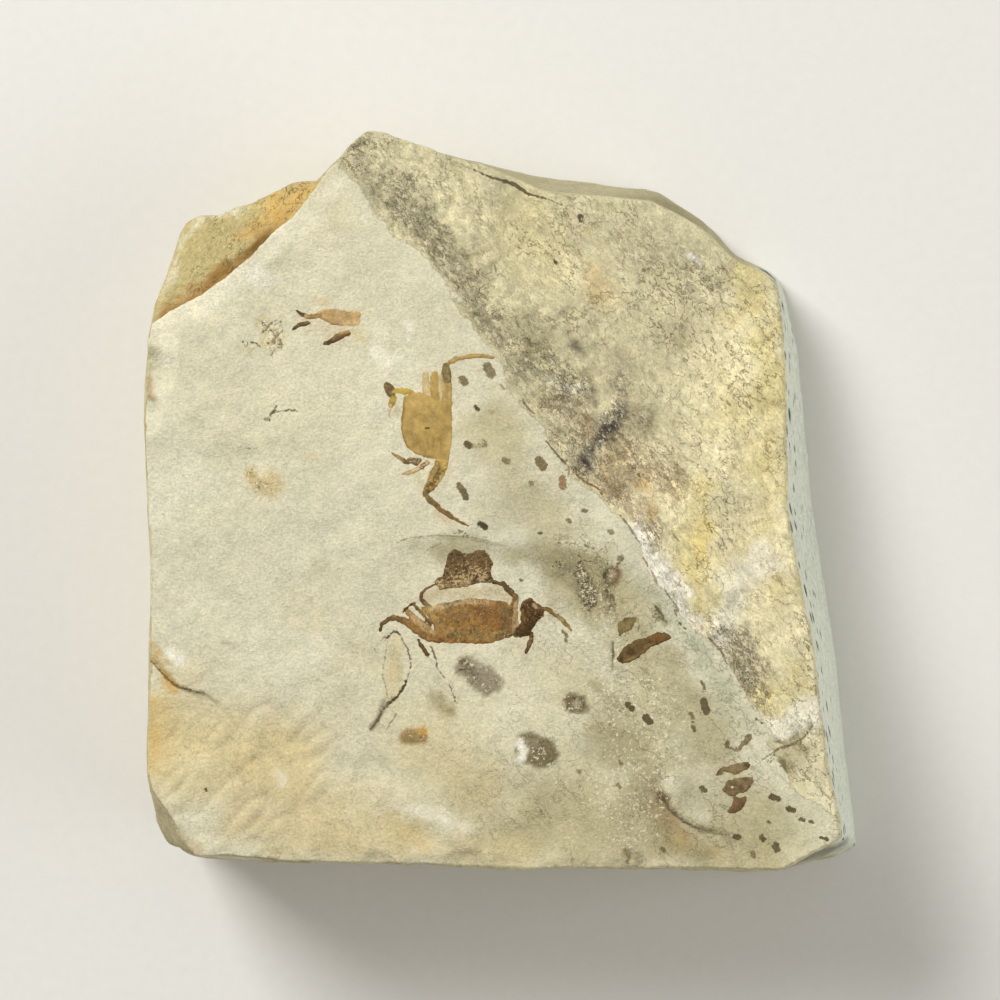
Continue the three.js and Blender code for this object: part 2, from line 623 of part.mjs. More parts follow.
fossilCrab.add(
  toMesh('mudstone_block', mudstoneBlock(), MUDSTONE),
  toMesh('lower_crab', lowerCrab(), DARK_SKIN),
  toMesh('upper_crab', upperCrab(), GOLDEN_SKIN),
  toMesh('shell_fragment', shellFragment(), TAN_SKIN),
  toMesh('leg_fragment_left', leftLeg, DARK_SKIN),
  toMesh('leg_fragment_right', rightLeg, DARK_SKIN),
  toMesh('long_flake', flake(LONG_FLAKE, LOWER_SEAT), DARK_SKIN),
  toMesh('ribbed_flake', flake(RIBBED_FLAKE, LOWER_SEAT), DARK_SKIN),
  toMesh('claw_flake_top', flake(CLAW_FLAKE_TOP, LOWER_SEAT), DARK_SKIN),
  toMesh('claw_flake_middle', flake(CLAW_FLAKE_MIDDLE, LOWER_SEAT), DARK_SKIN),
  toMesh('claw_flake_bottom', flake(CLAW_FLAKE_BOTTOM, LOWER_SEAT), DARK_SKIN),
);

export default fossilCrab;
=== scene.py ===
"""Two pressed fossil crabs on a hand-sized block of pale bedded mudstone.

The block lies on its cleaved back. Its bedding face bares a dark brown crab, a golden brown one
and loose flakes of crab skin. A weathered joint face slopes away at the upper right.

Sizes are in millimetres until a mesh is finished, and +Z points up out of the bedding face.
"""

import math

import bmesh
import bpy
import numpy as np
from bpy.props import FloatProperty, FloatVectorProperty, PointerProperty
from mathutils import Matrix, Vector


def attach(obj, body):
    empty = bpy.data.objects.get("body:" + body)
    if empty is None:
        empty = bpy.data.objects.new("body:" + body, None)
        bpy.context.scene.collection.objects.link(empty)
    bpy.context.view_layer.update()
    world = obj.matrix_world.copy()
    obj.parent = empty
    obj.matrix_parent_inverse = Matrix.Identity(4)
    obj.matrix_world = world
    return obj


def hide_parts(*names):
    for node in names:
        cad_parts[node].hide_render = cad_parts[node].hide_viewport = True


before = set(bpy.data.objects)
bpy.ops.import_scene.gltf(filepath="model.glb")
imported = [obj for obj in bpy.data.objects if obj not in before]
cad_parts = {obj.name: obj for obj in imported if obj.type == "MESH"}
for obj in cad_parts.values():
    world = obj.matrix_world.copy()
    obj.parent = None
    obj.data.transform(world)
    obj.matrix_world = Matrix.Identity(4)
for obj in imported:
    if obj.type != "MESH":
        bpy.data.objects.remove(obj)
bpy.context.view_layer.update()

bl_info = {
    "name": "Fossil Crabs on Mudstone",
    "version": (1, 0, 0),
    "blender": (4, 5, 0),
    "location": "3D View > Sidebar > Fossil",
    "description": "Builds a block of bedded mudstone with two pressed crabs and flakes of skin",
    "category": "Add Mesh",
}

MM = 0.001

# ---- colours ----


def linear(hex_code):
    """An sRGB hex colour as linear red, green and blue."""
    channels = [int(hex_code[i:i + 2], 16) / 255 for i in (1, 3, 5)]
    return tuple(c / 12.92 if c <= 0.04045 else ((c + 0.055) / 1.055) ** 2.4 for c in channels)


TONES = {
    "mudstone": "#D9D3B5",
    "fresh cream": "#ECE6CD",
    "chalk white": "#F3EEDB",
    "soft tan": "#D2C292",
    "warm tan": "#CDB67F",
    "ochre": "#CBA862",
    "rust": "#9A7238",
    "dark rust": "#765A24",
    "orange stain": "#C4964A",
    "lower bed": "#C9BF98",
    "dull olive": "#B9AF86",
    "olive smudge": "#8F8154",
    "olive shade": "#A99F78",
    "grey green": "#BCBB9C",
    "side grey green": "#DEE3D2",
    "granular grey": "#8C8264",
    "shadow grey": "#7B7155",
    "spot grey": "#948870",
    "spot brown": "#6A5C38",
    "crust": "#D9D0A8",
    "light crust": "#EEE3B8",
    "crust brown": "#AFA584",
    "side speck": "#50534A",
    "crust yellow": "#DFCF90",
    "bright yellow": "#E3CB7C",
    "crust white": "#E6DFC0",
    "manganese": "#54483F",
    "purple brown": "#8A7862",
    "red brown": "#8C6A45",
    "pink cream": "#D8C5A4",
    "corner grey": "#BDB18B",
    "shaded facet": "#82826F",
    "shaded beige": "#B8B08C",
    "ink": "#3E3218",
    "speck": "#5B4D30",
    "soft speck": "#7A6C4A",
    "faint speck": "#A0946C",
    "dark skin": "#6B5536",
    "darkest skin": "#463212",
    "leg tan": "#A5895D",
    "brown skin": "#7E6238",
    "warm skin": "#96703A",
    "red skin": "#7A5228",
    "purple skin": "#66502F",
    "olive skin": "#8A7A4C",
    "dull skin": "#7F6E4E",
    "gold skin": "#B39656",
    "deep gold skin": "#A68A4E",
    "bright gold skin": "#B99C48",
    "pale skin": "#C6AF80",
    "pink skin": "#C7A97C",
    "gold rim": "#8A7038",
    "tan skin": "#BE9E69",
    "cream grain": "#EFE7CC",
    "crescent": "#CDBF99",
    "ochre cream": "#B6A773",
}

# ---- the form of the stone ----

THICKNESS = 26.0              # underside to the upper bed, which carries the upper crab
LOWER_BED = 0.4               # the lower crab lies on a bed this much deeper

# Fracture faces. Each is a rough plane through a point on the upper bed. It dips toward a
# bearing, in degrees from +X to +Y. rim is the edge that it leaves on the bedding face.
JOINT_FACE = {
    "through": (25.1, -23.1),
    "toward": 36.7,
    "dip": 30,
    "lumps": [(9, 0.35), (3.6, 0.5)],
    "rim": [
        (25.1, -23.1), (23.9, -21), (22.5, -19.2), (21.2, -17.3), (21, -15.3),
        (19, -13.2), (16.7, -11), (14.9, -8.7), (13.5, -6.7), (12.7, -4), (11.4, -2),
        (9.9, -0.5), (8.3, 1.2), (6.6, 2), (4.5, 4.8), (3.5, 6.4), (2.8, 8.5), (1.1, 10.3),
        (-0.1, 12), (-1.1, 14.2), (-2.1, 15.7), (-3.8, 17.7), (-5.4, 19.6), (-6.5, 21.2),
        (-6, 22), (-8.2, 25.1), (-10.7, 26.7), (-12.3, 28.2), (-14.4, 30.6),
        (-16, 32.6), (-17.4, 33.9),
    ],
}
OCHRE_FACE = {
    "through": (-36.6, 18),
    "toward": 132.7,
    "dip": 62,
    "lumps": [(7, 0.45), (3, 0.25)],
    "rim": [
        (-14.8, 38.1), (-16.3, 36.2), (-18.5, 34.1), (-19.8, 32), (-20.6, 31),
        (-22.1, 29.1), (-24, 27.6), (-26.3, 25.1), (-28.6, 23), (-30.9, 21.3),
        (-34.3, 19.6), (-36.6, 18),
    ],
}
CORNER_CHIP = {
    "through": (-35.7, -28.8),
    "toward": 212.5,
    "dip": 70,
    "lumps": [(4, 0.3)],
    "rim": [(-35.7, -28.8), (-34, -31.2), (-32.9, -33.6), (-32, -34.6)],
}
YELLOW_FACE = {
    "through": (32.9, -33),
    "toward": 52,
    "dip": 24,
    "lumps": [(3.5, 0.2)],
    "rim": [(32.9, -33), (27.3, -28.7), (26.4, -26.4), (25.7, -24.2)],
}
RIM_REACH = 9.0               # distance down a face over which its rim's shape fades out
CRUST_LIP = [
    (33.8, -20), (30.2, -21.4), (29.6, -22.4), (28.3, -22.6), (27.3, -23.6), (26.2, -23.3),
    (25.1, -23.4), (25.2, -25), (25.9, -27.2), (25.9, -30), (28, -40), (45, -40),
    (45, -20),
]

# Beds split off the face: the plan of the missing flake, and how deep its floor lies within
# near of the spine. At far from it, the floor is runout above the upper bed.
SPLIT_FLAKES = [
    {
        "depth": LOWER_BED,
        "crisp_to": -1.5,
        "spine": [(-5, -12.5), (8, -15.5), (24, -27)],
        "near": 7.2,
        "far": 13,
        "runout": 0.15,
        "outline": [
            (-24, -8), (-15.5, -5.6), (-13.2, -4.4), (-11.7, -3.6), (-10, -3),
            (-7, -2.8), (-3.5, -3.1), (-2, -3.5), (0.7, -4), (4.7, -4.3), (8.7, -4.7),
            (12.7, -4.4), (16, -2), (45, -2), (45, -45), (-24, -45),
        ],
    },
    {
        "depth": 1,
        "spine": [(16.4, -31.6), (18.6, -34)],
        "near": 1.8,
        "far": 9,
        "runout": 0.3,
        "outline": [
            (14.8, -26.5), (14.8, -28), (15.1, -29.2), (15.7, -30.1), (17, -31.1),
            (18.1, -31.8), (19.3, -32.2), (21.5, -32.6), (24, -40), (6, -40), (6, -26),
        ],
    },
    {
        "depth": 0.7,
        "spine": [(-37.5, -17.6), (-34.5, -20)],
        "near": 2,
        "far": 9,
        "runout": 0.3,
        "outline": [
            (-40, -14), (-36.2, -15.1), (-35.3, -16), (-34.3, -16.9), (-33.2, -17.9),
            (-32.2, -18.2), (-31, -18.4), (-29.5, -19.5), (-30, -30), (-40, -30),
        ],
    },
]

# Shell-shaped chips along the edges of the bedding face: where, how wide and how deep.
CHIPS = [
    ((-35.9, 13.6), (1.9, 2.6), 0.7), ((-36.6, 9.4), (1.5, 2.2), 0.5),
    ((-36.9, -3.5), (1, 2.8), 0.4), ((-28.8, -35.4), (2.6, 1.5), 0.35),
    ((-23.6, -35.4), (2.9, 1.6), 0.45), ((-17.6, -35.6), (3.3, 2.7), 0.5),
    ((-13.6, -36.1), (2.1, 1.9), 0.7), ((-9.4, -36.2), (2.4, 1.3), 0.35),
    ((-4.2, -36.2), (2.7, 2), 0.55), ((-0.9, -36), (2.4, 1.5), 0.4),
    ((5.4, -36.4), (3, 1.3), 0.35), ((11.5, -36.4), (2.6, 1.2), 0.3),
]
CHIP_HEIGHT = 5.0             # half height of the round hollow that a chip leaves

# Seats for the fossils, where the bedding face is flat: (x, y, radius).
SEATS = [
    (-7.5, -9.5, 6.5), (-1, -9.5, 6.5), (3.5, -11, 5), (-9, 8, 7),
    (-7.5, 13, 6), (-5.5, 1, 5), (-20, 18, 5), (-16.5, 18, 4.5),
    (13, -13.5, 5), (22, -27.8, 4.5),
]
SEAT_FADE = 4.5               # width over which the face turns from flat to uneven

# Low swells and steps on the bedding face: line, half width and height, down if negative.
SWELLS = [
    ([(-13.3, -28.2), (-9.5, -30.4), (-4.3, -32.7)], 1.3, 0.28),
    ([(-12, -31.6), (-8.5, -33.2)], 1.5, -0.16),
    ([(7.7, -5.2), (12, -11.5), (18.7, -21.2)], 0.5, -0.1),
    ([(10.5, -8.2), (15.5, -14.8)], 0.35, 0.07),
    ([(-34, -15.4), (-31.5, -16.6)], 0.8, 0.14),
    ([(15.6, -27.4), (16.8, -29.6), (19.4, -31.2)], 0.9, 0.16),
    ([(-19, -23.8), (-18.1, -27.5)], 0.25, -0.08),
    ([(-24.7, 18.6), (-21, 15.2)], 0.9, -0.06),
]
SCALY_PATCH = ((-27, -26), 12)   # centre and radius of the scaly weathering

# ---- plain geometry and noise ----


def smooth(value, low, high):
    """0 below low, 1 above high and a soft ramp between them."""
    part = np.clip((value - low) / (high - low), 0, 1)
    return part * part * (3 - 2 * part)


def scatter(i, j, k):
    """A repeatable random number from -1 to 1 for each whole-number place."""
    wave = np.sin(i * 127.1 + j * 311.7 + k * 74.7) * 43758.5453
    return 2 * (wave - np.floor(wave)) - 1


def unevenness(x, y, z, size):
    """Smooth unevenness from -1 to 1 that changes over about size millimetres."""
    place = np.stack(np.broadcast_arrays(x / size, y / size, z / size))
    low = np.floor(place)
    part = smooth(place - low, 0, 1)
    total = 0.0
    for corner in range(8):
        step = (corner & 1, corner >> 1 & 1, corner >> 2)
        weight = 1.0
        for axis in range(3):
            weight = weight * (part[axis] if step[axis] else 1 - part[axis])
        total = total + weight * scatter(*(low[axis] + step[axis] for axis in range(3)))
    return total


def rough(x, y, z, size, layers=3):
    """Unevenness with finer layers, each half the size and half the height."""
    return sum(unevenness(x, y, z + 7 * n, size / 2 ** n) / 2 ** n for n in range(layers))


def to_line(x, y, line):
    """Distance to a line, the offset from its nearest point, and how far along that lies."""
    points = np.asarray(line, float)
    gap = np.full(np.shape(x), 1e6)
    across = np.zeros(np.shape(x))
    up = np.zeros(np.shape(x))
    along = np.zeros(np.shape(x))
    for i, (start, end) in enumerate(zip(points, points[1:])):
        run = end - start
        t = (x - start[0]) * run[0] + (y - start[1]) * run[1]
        t = np.clip(t / max(run @ run, 1e-9), 0, 1)
        dx = x - start[0] - t * run[0]
        dy = y - start[1] - t * run[1]
        nearer = np.hypot(dx, dy) < gap
        gap = np.where(nearer, np.hypot(dx, dy), gap)
        across = np.where(nearer, dx, across)
        up = np.where(nearer, dy, up)
        along = np.where(nearer, i + t, along)
    return gap, across, up, along


def outside(x, y, outline):
    """Distance outside a closed outline, negative inside it."""
    gap = to_line(x, y, [*outline, outline[0]])[0]
    within = np.zeros(np.shape(x), bool)
    for (ax, ay), (bx, by) in zip(outline, [*outline[1:], outline[0]]):
        if ay != by:
            crosses = (ay > y) != (by > y)
            within ^= crosses & (x < ax + (y - ay) * (bx - ax) / (by - ay))
    return np.where(within, -gap, gap)


# ---- heights of the stone's upper side ----

BED_SWELLS = [(0.3, 11, 1.5), (0.14, 4, 4.5)]    # height, size and the noise's own plane
BED_SINK = 0.05               # the swells lie this much below the plane on average
SPLIT_BLUR = 1.6              # how softly a split bed begins where its edge isn't crisp
FINE_RELIEF = (0.15, 2.6)     # height and size of the bedding face's fine unevenness
SCALE_HEIGHT = 0.28           # depth of the creases between scales
LUMPS = (1.5, 0.75, 0.45)     # sizes of the joint face's lumps
LUMP_HEIGHTS = (0.75, 0.4, 0.1)
RIM_CALM = 5                  # a fracture face is calmer this near its rim


def bed_relief(x, y):
    """How far a bedding surface departs from its plane."""
    swell = sum(high * unevenness(x, y, plane, size) for high, size, plane in BED_SWELLS)
    away = 1.0
    for seat_x, seat_y, radius in SEATS:
        gap = np.hypot(x - seat_x, y - seat_y) - radius
        away = np.minimum(away, smooth(gap, 0, SEAT_FADE))
    return (swell - BED_SINK) * away


def bed_height(x, y):
    """Height of the bedding face: the upper bed, less what split or chipped off it."""
    relief = bed_relief(x, y)
    height = THICKNESS + relief
    for flake in SPLIT_FLAKES:
        far_off = smooth(to_line(x, y, flake["spine"])[0], flake["near"], flake["far"])
        floor = THICKNESS - flake["depth"] + far_off * (flake["depth"] + flake["runout"])
        floor = floor + 0.7 * relief
        ragged = 0.12 * unevenness(x, y, 3, 0.8)
        crisp_to = flake.get("crisp_to", 50)
        blurred = SPLIT_BLUR * smooth(x, crisp_to, crisp_to + 3)
        within = ragged - outside(x, y, flake["outline"])
        inside = smooth(within, -0.06 - blurred, 0.12 + blurred)
        height = height - inside * np.maximum(height - floor, 0)
    for (chip_x, chip_y), (reach_x, reach_y), depth in CHIPS:
        belly = math.sqrt(1 - (1 - depth / CHIP_HEIGHT) ** 2)
        ragged = 1 + 0.28 * unevenness(x, y, 7.5, 2.2)
        spread = np.hypot((x - chip_x) / reach_x, (y - chip_y) / reach_y) * belly / ragged
        bowl = CHIP_HEIGHT * (1 - np.sqrt(np.clip(1 - spread ** 2, 0, 1)))
        height = np.minimum(height, THICKNESS - depth + bowl)
    return height


def fracture_height(x, y, face):
    """Height of a fracture face above each place, carried on beyond its rim."""
    bearing = math.radians(face["toward"])
    slope = math.radians(face["dip"])
    from_x = x - face["through"][0]
    from_y = y - face["through"][1]
    out = from_x * math.cos(bearing) + from_y * math.sin(bearing)
    strike = from_y * math.cos(bearing) - from_x * math.sin(bearing)
    rim = np.array(face["rim"]) - face["through"]
    rim_strike = rim[:, 1] * math.cos(bearing) - rim[:, 0] * math.sin(bearing)
    rim_out = rim[:, 0] * math.cos(bearing) + rim[:, 1] * math.sin(bearing)
    order = np.argsort(rim_strike)
    edge = np.interp(strike, rim_strike[order], rim_out[order]) * math.sin(slope)
    down = out / math.cos(slope)
    for _ in range(3):
        bulge = edge * np.exp(-np.maximum(down, 0) / RIM_REACH)
        calm = 0.25 + 0.75 * smooth(down, 0, RIM_CALM)
        for size, height in face["lumps"]:
            bulge = bulge + calm * height * unevenness(down, strike, face["dip"] + size, size)
        down = (out - bulge * math.sin(slope)) / math.cos(slope)
    return THICKNESS - out * math.tan(slope) + bulge / math.cos(slope)


def fine_bed_relief(x, y):
    """Swells, scaly weathering and grain that are too fine for the plain solid."""
    high, size = FINE_RELIEF
    relief = high * rough(x, y, 12, size, 4)
    for line, half_width, height in SWELLS:
        gap = to_line(x, y, line)[0] + 0.3 * unevenness(x, y, 5, 1.2)
        relief = relief + height * (1 - smooth(gap, 0, half_width * 1.6))
    (patch_x, patch_y), radius = SCALY_PATCH
    scaly = 1 - smooth(np.hypot(x - patch_x, y - patch_y), radius * 0.5, radius)
    across = (x - y) * 0.7
    diagonal = (x + y) * 0.7
    scales = np.abs(unevenness(across, diagonal / 2.2, 3, 1.5))
    return relief - scaly * SCALE_HEIGHT * (1 - scales) ** 2


def joint_grain(x, y):
    """Lumps of the weathered joint face, drawn out along its strike, and their creases."""
    down = (x + y) * 0.7
    along = (x - y) * 0.7
    bend = 0.5 * unevenness(x, y, 40, 2.5)
    large = np.abs(unevenness(down + bend, along / 1.8, 2, LUMPS[0]))
    small = np.abs(unevenness(down, along / 1.6 + bend, 9, LUMPS[1]))
    tiny = unevenness(down, along / 1.4, 5, LUMPS[2])
    crease_shade = np.maximum(1 - smooth(large, 0, 0.1), 0.6 - smooth(small, 0, 0.14))
    lumps = sum(high * part for high, part in zip(LUMP_HEIGHTS, (large - 0.3, small - 0.3, tiny)))
    return lumps, np.maximum(crease_shade, 0)


def upper_side(x, y):
    """Heights of the bedding face and of the lowest fracture face at each place."""
    bed = bed_height(x, y) + fine_bed_relief(x, y)
    joint = fracture_height(x, y, JOINT_FACE)
    calm = 1 - 0.5 * smooth(x + 0.5 * y, 6, 16)
    joint = joint + calm * 0.17 * rough(x, y, 20, 1.7, 4)
    joint = joint + calm * joint_grain(x, y)[0] * smooth(bed - joint, 0, 0.6)
    yellow = fracture_height(x, y, YELLOW_FACE) + 0.04 * rough(x, y, 8, 1.2, 2)
    in_yellow = outside(x, y, CRUST_LIP) < 0.15 * unevenness(x, y, 6, 0.9)
    yellow = np.where(in_yellow, np.minimum(yellow, joint), joint)
    ochre = fracture_height(x, y, OCHRE_FACE)
    corner = fracture_height(x, y, CORNER_CHIP)
    return bed, joint, yellow, ochre, corner


def face_height(x, y):
    """Height of the stone's upper side."""
    return np.minimum.reduce(upper_side(x, y))


# ---- stains and marks on the stone ----

# Places that more than one table names.
SHADED_RIM_STRIP = [(-15.8, 35), (-8, 27), (-3, 20), (1, 14.5)]
CRUST_EDGE = [(22.4, -13.6), (23.8, -16.4), (23.6, -20.6)]
GRAIN_CLUSTER = [(-24.9, 18.2), (-23.7, 17.2), (-24.2, 16.4)]
LEFT_SPOT = [(-25.9, 2.6), (-24.6, 2.3)]
RUSTY_SPOT = [(-10.7, -22.9), (-9.1, -22.9)]
ROUND_SPOT = [(6.1, -19.6), (6.5, -19.8)]
LARGE_SPOT = [(1.6, -24), (3, -24.4)]

# Soft stains on the bedding face: line, half width, softness, tone and strength.
BED_STAINS = [
    # broad tones, from the fresh upper left to the duller beds at the lower right
    ([(-35, 8), (-33, -8), (-24, -4)], 3, 12, "mudstone", 0.6),
    ([(-14, -20), (-4, -24), (4, -26)], 4, 9, "lower bed", 0.6),
    ([(2, -31), (13, -31), (24, -33.5)], 5, 9, "dull olive", 0.85),
    ([(6, -17), (14, -22), (20, -25)], 3, 8, "lower bed", 0.8),
    ([(-34, -23), (-26, -26), (-16, -30)], 4, 10, "soft tan", 0.9),
    ([(-35.8, -21), (-35.5, -29)], 1.2, 4, "warm tan", 0.8),
    ([(-33, -20), (-26, -26), (-18, -30)], 3, 9, "warm tan", 0.3),
    ([(-20, -9), (-16, -14)], 2, 7, "soft tan", 0.35),
    ([(-9, -25), (-4, -28)], 2, 6, "soft tan", 0.4),
    ([(-20, 34), (-18, 30)], 1, 5, "lower bed", 0.45),
    ([(-28, -21), (-23, -24)], 2, 6, "soft tan", 0.6),
    ([(-26, -31), (-12, -34)], 2, 5, "soft tan", 0.75),
    ([(-8, -33.5), (2, -34.5)], 1.5, 4, "soft tan", 0.5),
    ([(-3, 8), (-0.5, 1), (6, -3)], 1.8, 5, "lower bed", 0.6),
    # painted shade on the slope of the step below the ledge above the lower crab
    ([(-9, -4.1), (-2, -4.3), (6, -4.6)], 0.9, 2.2, "olive shade", 0.75),
    ([(5, -6.5), (9, -9)], 1.8, 5, "olive shade", 0.85),
    ([(5.6, -5.6), (7.6, -8.6)], 1.5, 2.4, "shadow grey", 0.95),
    ([(7.7, -5.2), (13, -12), (19, -20)], 1, 3, "dull olive", 0.6),
    ([(13.5, -8.5), (18.5, -14.3), (21.5, -19)], 0.8, 2.2, "grey green", 0.8),
    ([(17, -22.5), (22, -22)], 2, 5, "grey green", 0.6),
    ([(20, -29), (25, -31), (28, -32.5)], 1.5, 4, "grey green", 0.5),
    ([(13, -28), (15.2, -34), (19, -35)], 0.9, 2.6, "olive smudge", 0.4),
    ([(14.8, -29.3), (16.2, -32.6)], 0.9, 1.8, "rust", 0.55),
    ([(16.4, -33.4), (20.6, -34.6)], 0.5, 1.6, "warm tan", 0.5),
    ([(11.5, -34.6), (12.5, -35.5)], 0.6, 1, "granular grey", 0.7),
    ([(18.9, -32.5), (19.6, -32.7)], 0.2, 0.5, "olive smudge", 0.8),
    # painted shadow: the dark spot at the upper end of the arc-shaped step at the lower right
    ([(14.9, -28.5), (15.2, -29)], 0.5, 0.9, "spot brown", 0.85),
    ([(9.5, -9), (15, -18), (21, -25), (24, -31)], 2.5, 5, "dull olive", 0.75),
    ([(3, -33), (6, -35)], 2, 5, "dull olive", 0.6),
    ([(10, -22), (14, -27)], 2, 5, "olive shade", 0.85),
    ([(14, -30.5), (15.5, -33.5)], 1.2, 2.5, "olive shade", 0.7),
    ([(17.4, -33.6), (19.4, -34.6)], 0.8, 1.4, "olive smudge", 0.45),
    ([(-2.5, 8.5), (0, 3), (3, -1)], 1.5, 4, "dull olive", 0.45),
    ([(4.5, -5.4), (8, -5.6), (8.6, -8.5)], 1.2, 2.4, "olive shade", 0.7),
    ([(-27, -30), (-20, -32)], 1.5, 4, "pink cream", 0.35),
    ([(-23.4, -26.6), (-23.1, -27.2)], 0.4, 1.2, "chalk white", 0.4),
    ([(-17, -24.8), (-12.8, -25.2)], 0.5, 1.6, "olive shade", 0.35),
    # the fresh cream edge beside the ochre face and other bright places
    ([(-35.6, 18.1), (-33.5, 19.2), (-30.5, 20.6), (-27, 23.3)], 0.9, 1.6, "fresh cream", 0.6),
    ([(-27.5, 22.7), (-24, 26), (-21, 29.6)], 0.8, 2, "fresh cream", 0.5),
    ([(-34.8, 17.2), (-34.4, 15.2)], 0.7, 1.5, "fresh cream", 0.8),
    ([(-25.6, 23.4), (-24.9, 22.9)], 0.9, 1.5, "chalk white", 0.7),
    ([(-24, 15), (-19, 14), (-14.5, 12.5)], 1.5, 6, "fresh cream", 0.35),
    ([(-10.4, 18.4), (-10.5, 16.8)], 0.35, 0.9, "chalk white", 0.7),
    ([(-13.8, 15.6), (-12.4, 14.9)], 0.7, 1.3, "chalk white", 0.55),
    ([(-19.6, 29.5), (-17.6, 32.5)], 0.8, 2.5, "fresh cream", 0.5),
    ([(-12.8, 18), (-12, 15)], 1, 3, "fresh cream", 0.4),
    ([(-11.6, -29.9), (-9, -30.5), (-5, -31.9)], 0.5, 1.2, "fresh cream", 0.6),
    ([(-12, -31.8), (-8.8, -34)], 0.9, 2, "warm tan", 0.6),
    # painted highlight: the lit upper side of the step near the left edge
    ([(-34.2, -14.8), (-33.2, -15.3)], 0.5, 0.8, "chalk white", 0.85),
    ([(15.8, -27.2), (17.2, -29.5), (19.8, -31)], 0.5, 1.4, "mudstone", 0.6),
    ([(17.8, -27.6), (19.2, -29.2)], 1.4, 2.6, "olive shade", 0.5),
    ([(-33.6, -32.6), (-31.5, -34.5)], 0.6, 1.2, "rust", 0.4),
    # rust along the left edge
    ([(-36.4, -13.8), (-35.2, -15.6), (-34.2, -18)], 0.5, 1, "ochre", 0.85),
    ([(-36.5, 12.9), (-36.2, 11)], 0.25, 0.6, "rust", 0.6),
    ([(-36.4, 16), (-36.6, 13.8)], 0.4, 0.8, "dull olive", 0.6),
    ([(-36.3, -19.5), (-35.9, -26)], 0.3, 1.4, "ochre", 0.5),
    ([(-34.7, 2.8), (-30, 1)], 1.5, 5, "fresh cream", 0.3),
    # around the fragments at the upper left
    ([(-19.7, 20.7), (-18.5, 20.5)], 0.35, 0.6, "tan skin", 0.45),
    ([(-20.5, 18.6), (-17.5, 17.6)], 0.7, 1.6, "pink cream", 0.5),
    ([(-15.9, 17.6), (-15, 16.9)], 0.4, 0.9, "soft tan", 0.7),
    ([(-24.9, 18.4), (-23.5, 17), (-24.3, 16.2)], 0.7, 0.9, "soft tan", 0.8),
    ([(-27, 16.3), (-26.2, 15.9)], 0.3, 0.9, "dull olive", 0.6),
    # sparkling round stains; their sparkle is painted with pale grains
    (LEFT_SPOT, 1.2, 1.5, "warm tan", 0.75),
    ([(-25.3, 2.7), (-25, 2.2)], 0.4, 1.3, "olive smudge", 0.55),
    ([(-20.6, 5.2), (-20.2, 5.2)], 0.4, 1, "warm tan", 0.45),
    ([(-29, -13.6), (-27.7, -13.4)], 0.15, 0.5, "olive smudge", 0.6),
    ([(-4.6, -15.8), (-2.4, -17.5)], 1.25, 0.45, "spot grey", 0.92),
    ([(-4.9, -15.6), (-4.2, -16.6)], 0.5, 0.7, "granular grey", 0.5),
    ([(-7.4, -19.3), (-6.5, -20)], 0.8, 1.3, "olive smudge", 0.5),
    ([(-7, -19.9), (-6.2, -20.2)], 0.4, 0.9, "olive smudge", 0.6),
    (RUSTY_SPOT, 0.75, 0.45, "rust", 0.8),
    ([(-10.8, -23.1), (-9.4, -23.3)], 0.3, 0.5, "olive smudge", 0.7),
    ([(-9.1, -22.2), (-8.8, -22.3)], 0.4, 0.35, "orange stain", 0.9),
    (ROUND_SPOT, 1, 0.4, "spot brown", 0.9),
    ([(6.4, -19.6), (6.6, -19.8)], 0.35, 0.5, "pink cream", 0.55),
    (LARGE_SPOT, 1.45, 0.5, "spot brown", 0.9),
    ([(1.8, -23.6), (2.6, -23.8)], 0.5, 0.8, "spot grey", 0.5),
    ([(0.6, -23.6), (1.1, -24.2), (0.8, -24.9)], 0.4, 0.5, "chalk white", 0.95),
    ([(5.8, -6), (6.7, -7.9)], 0.5, 0.9, "granular grey", 0.7),
    ([(9.9, -6.5), (9.7, -7.2)], 0.8, 0.3, "spot brown", 0.75),
    ([(9.9, -6.5), (9.8, -7)], 0.3, 0.3, "pink cream", 0.6),
    ([(9.6, -8.4), (9.8, -10.2)], 0.4, 0.7, "spot brown", 0.6),
    ([(8, -17.6), (11.7, -20.6)], 0.3, 0.8, "olive shade", 0.7),
    ([(14.2, -10), (15.2, -11.4)], 0.3, 0.5, "olive smudge", 0.75),
    ([(10, -13.4), (10, -16)], 0.12, 0.3, "olive smudge", 0.75),
    # the cream stone that shows through the broken shell of the lower crab
    ([(-8.7, -9), (-7.3, -8.3), (-4.5, -8.6), (-1.6, -8.3), (-0.3, -8.9)], 0.55, 0.35,
     "crescent", 0.95),
    # haze beside the legs of the upper crab
    ([(-7.6, -0.6), (-6.2, -1.4)], 0.3, 0.7, "pink skin", 0.5),
    ([(-9.6, 2.9), (-9, 2.2)], 0.4, 0.5, "dull olive", 0.6),
    ([(-6.4, 3.2), (-5.8, 4.6)], 0.5, 1.2, "pink cream", 0.4),
    ([(-11.8, 10.6), (-11.6, 9.6)], 0.3, 0.6, "gold skin", 0.4),
    # the pale imprint of a claw
    ([(-11.8, -13.3), (-11.9, -15.5), (-11.8, -17.6), (-12.2, -18.8)], 0.75, 0.6,
     "soft tan", 0.55),
    ([(-11.9, -15.5), (-11.9, -16.6)], 0.45, 0.7, "tan skin", 0.2),
    ([(-12.2, -14), (-11.2, -15.5), (-11.6, -18)], 0.15, 0.5, "olive shade", 0.4),
    ([(-12.9, -19.4), (-13.5, -21.2), (-14.2, -22.1)], 0.3, 0.3, "spot grey", 0.85),
]

